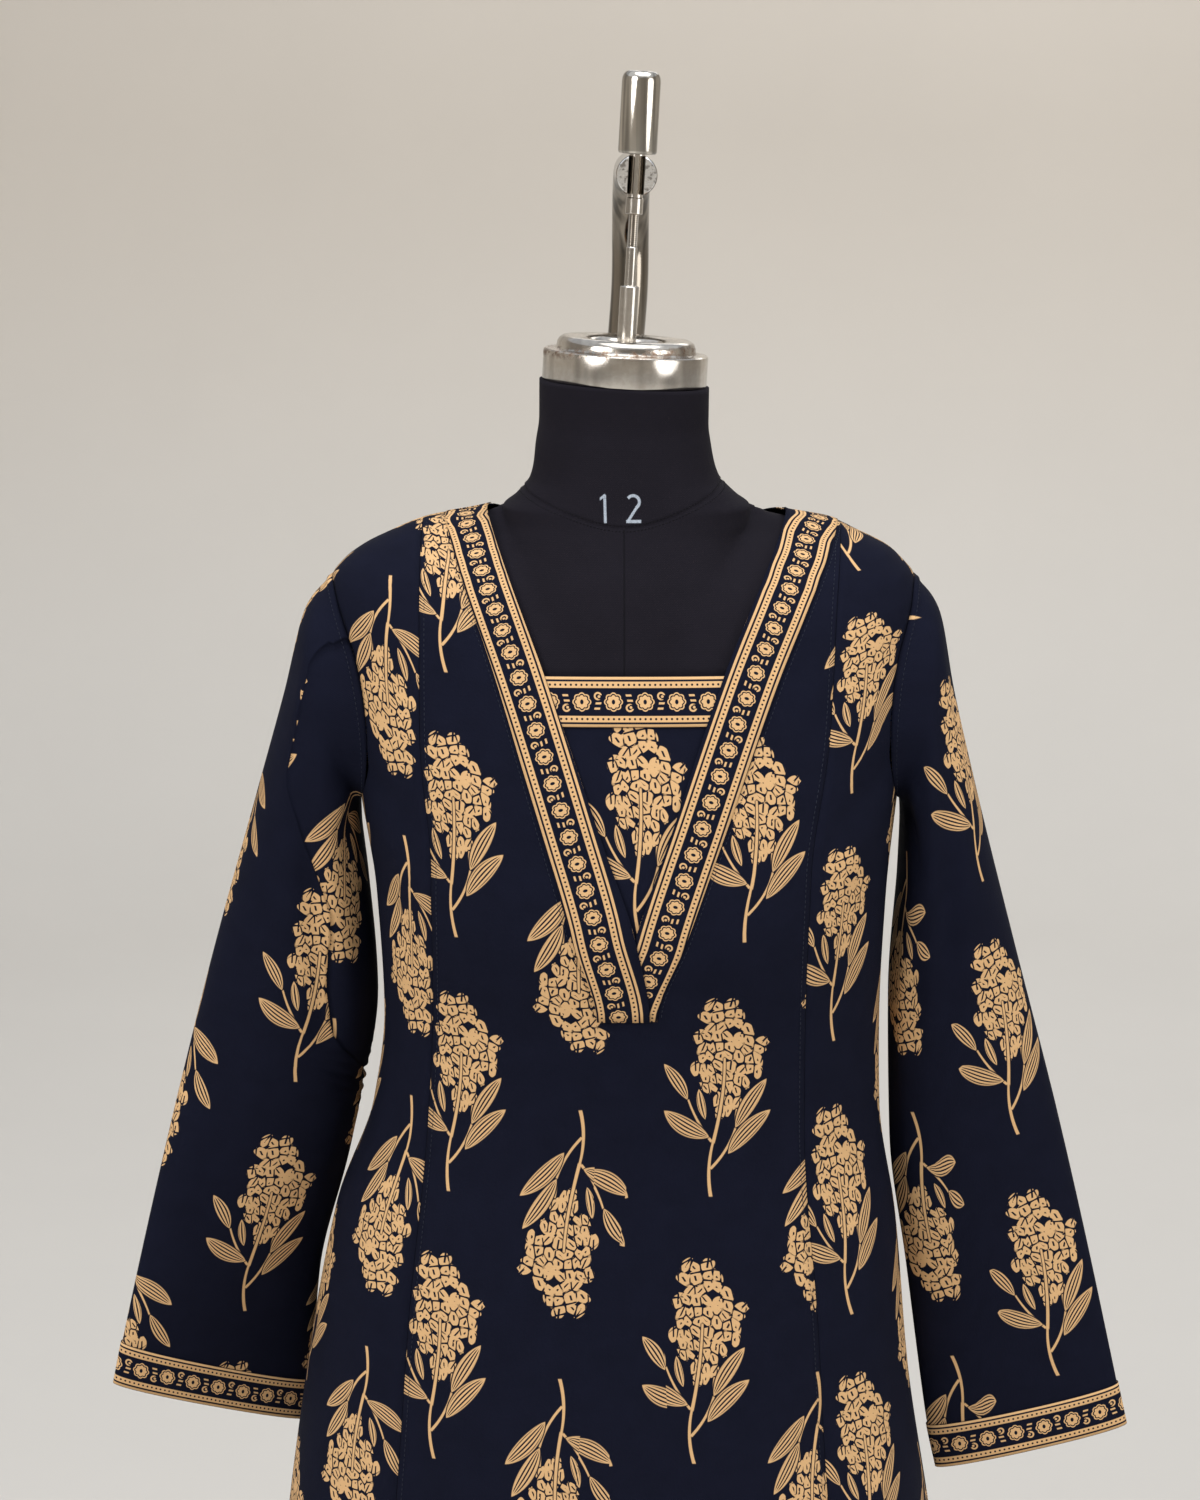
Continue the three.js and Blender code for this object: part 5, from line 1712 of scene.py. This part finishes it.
class KURTA_OT_pole(bpy.types.Operator):
    """Make the crooked pole with its slotted end, its foot collar and the base plate"""

    bl_idname = "kurta.pole"
    bl_label = "Pole and base"

    def execute(self, context):
        line = pole_line()
        ahead = np.gradient(line, axis=0)
        ahead /= np.linalg.norm(ahead, axis=-1, keepdims=True)
        across = np.array([1.0, 0, 0]) - ahead * ahead[:, :1]
        across /= np.linalg.norm(across, axis=-1, keepdims=True)
        up = np.cross(across, ahead)
        turn = np.linspace(0, 2 * pi, POLE_SIDES + 1)
        spokes = across[:, None] * np.cos(turn)[None, :, None] + up[:, None] * np.sin(turn)[None, :, None]
        points = line[:, None] + spokes * POLE_RADIUS
        # A small chamfer at the end face
        tip = line[-1] + spokes[-1] * (POLE_RADIUS - CHAMFER)
        points[-1] += np.array([0, CHAMFER, 0])
        points = np.concatenate([points, tip[None]])
        spokes = np.concatenate([spokes, spokes[-1:]])
        bm = bmesh.new()
        layer = bm.loops.layers.uv.new("cloth")
        patch(bm, points, spokes, np.zeros(points.shape[:2] + (2,)), layer)
        bmesh.ops.remove_doubles(bm, verts=bm.verts, dist=0.02 * MM)
        rims = [edge for edge in bm.edges if edge.is_boundary]
        bmesh.ops.holes_fill(bm, edges=rims, sides=0)
        look = made("pole_chrome", steel, (0.30, 0.265, 0.22), 0.12, 0.75, 0.13, False, ARM_END_Y + 0.6)
        pole = finish(bm, "crook_tube", look, "dark_chrome", "crook_pole")
        self.cut_slot(context, pole)
        sharp_edges(pole, radians(28))
        turned(
            "foot_collar", COLLAR, look, "dark_chrome", "pole_collar",
            segments=context.scene.kurta_steel.segments, at=(0, POLE_Y, BASE_TOP + 0.3),
        )
        self.plate()
        return {"FINISHED"}

    @staticmethod
    def cut_slot(context, pole):
        """Cuts the slot that lets the rod in, leant as the rod is."""
        bm = bmesh.new()
        middle = HANG_X + tan(HANG_LEAN) * (CROOK_Z - FORM_TOP_Z)
        deep, high = 60.0, 4 * POLE_RADIUS
        place = Matrix.Translation(Vector((middle, SLOT_END_Y - deep / 2, CROOK_Z)) * MM)
        place = place @ Matrix.Rotation(HANG_LEAN, 4, "Y") @ Matrix.Diagonal((SLOT_WIDTH * MM, deep * MM, high * MM, 1))
        bmesh.ops.create_cube(bm, size=1, matrix=place)
        mesh = bpy.data.meshes.new("slot")
        bm.to_mesh(mesh)
        bm.free()
        cutter = bpy.data.objects.new("slot", mesh)
        context.scene.collection.objects.link(cutter)
        cut = pole.modifiers.new("slot", "BOOLEAN")
        cut.operation, cut.object, cut.solver = "DIFFERENCE", cutter, "EXACT"
        context.view_layer.update()
        result = bpy.data.meshes.new_from_object(pole.evaluated_get(context.evaluated_depsgraph_get()))
        pole.modifiers.clear()
        old = pole.data
        pole.data = result
        bpy.data.meshes.remove(old)
        bpy.data.objects.remove(cutter)
        bpy.data.meshes.remove(mesh)

    @staticmethod
    def plate():
        bm = bmesh.new()
        bmesh.ops.create_cube(bm, size=1)
        place = Matrix.Translation((0, PLATE_BACK, PLATE[2] / 2)) @ Matrix.Diagonal((*PLATE, 1))
        bmesh.ops.transform(bm, matrix=place, verts=bm.verts)
        upright = [e for e in bm.edges if abs(e.verts[0].co.z - e.verts[1].co.z) > 0.005]
        bmesh.ops.bevel(
            bm, geom=upright, offset=PLATE_CORNER, offset_type="OFFSET", segments=14, profile=0.5, affect="EDGES",
            material=-1,
        )
        rims = [e for e in bm.edges if abs(e.verts[0].co.z - e.verts[1].co.z) < 1e-6 and e.calc_face_angle(0) > 1]
        bmesh.ops.bevel(
            bm, geom=rims, offset=PLATE_RIM, offset_type="OFFSET", segments=3, profile=0.5, affect="EDGES",
            material=-1,
        )
        piece = finish(bm, "base_slab", made("slab_paint", paint, (0.035, 0.035, 0.04)), "base_paint", "base_plate")
        sharp_edges(piece, radians(40))


# ---- The stage

FLOOR_RADIUS, COVE, WALL_TOP = 4200.0, 1600.0, 5000.0
FLOOR_TONE = (0.560, 0.540, 0.508)
WALL_TONE = (0.565, 0.520, 0.462)
# Lamps, in metres and watts: place, the place each is aimed at, its width and its power.
LAMPS = {
    "window": ((-2.6, -2.8, 2.9), (0, 0, 1.1), 2.4, 95),
    "sky": ((0.4, -0.6, 4.4), (0, 0.4, 0.6), 3.6, 90),
    "fill": ((3.0, -1.8, 1.9), (0, 0, 1.1), 2.2, 38),
    "backdrop": ((0.8, 4.2, 3.4), (0.8, 4.4, 0), 3.0, 41),
}
DAYLIGHT, DAYLIGHT_STRENGTH = (0.9, 0.94, 1.0, 1), 0.8
CAMERA_PLACE, CAMERA_TILT, CAMERA_LENS = (-0.016, -1.950, 1.663), radians(78.1), 73.27


class KURTA_OT_stage(bpy.types.Operator):
    """Make the pale floor that curves up behind, the soft lights and the camera"""

    bl_idname = "kurta.stage"
    bl_label = "Stage"

    def execute(self, context):
        turns = np.linspace(0, pi / 2, 14)[1:]
        profile = [(0, 0), (FLOOR_RADIUS / 2, 0), (FLOOR_RADIUS, 0)]
        profile += [(FLOOR_RADIUS + COVE * sin(t), COVE * (1 - cos(t))) for t in turns]
        profile += [(FLOOR_RADIUS + COVE, height) for height in (WALL_TOP * 0.6, WALL_TOP)]
        bm = spun(profile, 96)
        if sum(face.normal.z for face in bm.faces) < 0:
            bmesh.ops.reverse_faces(bm, faces=bm.faces)
        mesh = bpy.data.meshes.new("floor")
        bm.to_mesh(mesh)
        bm.free()
        mesh.materials.append(made("pale_plaster", plaster, FLOOR_TONE, WALL_TONE))
        mesh.polygons.foreach_set("use_smooth", [True] * len(mesh.polygons))
        floor = bpy.data.objects.new("floor", mesh)
        context.scene.collection.objects.link(floor)
        for name, row in LAMPS.items():
            self.light(name, *row)
        world = bpy.data.worlds.new("daylight")
        context.scene.world = world
        world.use_nodes = True
        world.node_tree.nodes["Background"].inputs["Color"].default_value = DAYLIGHT
        world.node_tree.nodes["Background"].inputs["Strength"].default_value = DAYLIGHT_STRENGTH
        camera = bpy.data.objects.new("camera", bpy.data.cameras.new("camera"))
        camera.location = CAMERA_PLACE
        camera.rotation_euler = (CAMERA_TILT, 0, 0)
        camera.data.lens = CAMERA_LENS
        camera.data.sensor_width = 36
        camera.data.clip_end = 40
        context.scene.collection.objects.link(camera)
        context.scene.camera = camera
        context.scene.view_settings.view_transform = "Standard"
        return {"FINISHED"}

    @staticmethod
    def light(name, place, at, size, power_watts):
        lamp = bpy.data.lights.new(name, "AREA")
        lamp.shape, lamp.size, lamp.energy = "DISK", size, power_watts
        obj = bpy.data.objects.new(name, lamp)
        obj.location = place
        obj.rotation_euler = (Vector(at) - Vector(place)).to_track_quat("-Z", "Y").to_euler()
        bpy.context.scene.collection.objects.link(obj)


OPERATORS = (
    KURTA_OT_form, KURTA_OT_front, KURTA_OT_back, KURTA_OT_sleeves, KURTA_OT_neck, KURTA_OT_stitches,
    KURTA_OT_hanger, KURTA_OT_pole, KURTA_OT_stage,
)


class KURTA_PT_panel(bpy.types.Panel):
    """Lists the kurta's pieces"""

    bl_idname = "KURTA_PT_panel"
    bl_label = "Kurta"
    bl_space_type = "VIEW_3D"
    bl_region_type = "UI"
    bl_category = "Kurta"

    def draw(self, context):
        for group in ("kurta_cloth", "kurta_form", "kurta_steel"):
            settings = getattr(context.scene, group)
            for name in settings.__annotations__:
                self.layout.prop(settings, name)
        for operator in OPERATORS:
            self.layout.operator(operator.bl_idname)


GROUPS = (("kurta_cloth", ClothSizes), ("kurta_form", FormSizes), ("kurta_steel", SteelSizes))


def register():
    for name, group in GROUPS:
        bpy.utils.register_class(group)
        setattr(bpy.types.Scene, name, PointerProperty(type=group))
    for kind in (*OPERATORS, KURTA_PT_panel):
        bpy.utils.register_class(kind)


def unregister():
    for kind in reversed((*OPERATORS, KURTA_PT_panel)):
        bpy.utils.unregister_class(kind)
    for name, group in reversed(GROUPS):
        delattr(bpy.types.Scene, name)
        bpy.utils.unregister_class(group)


def main():
    register()
    for step in ("form", "front", "back", "sleeves", "neck", "stitches", "hanger", "pole", "stage"):
        getattr(bpy.ops.kurta, step)()


if __name__ == "__main__":
    main()
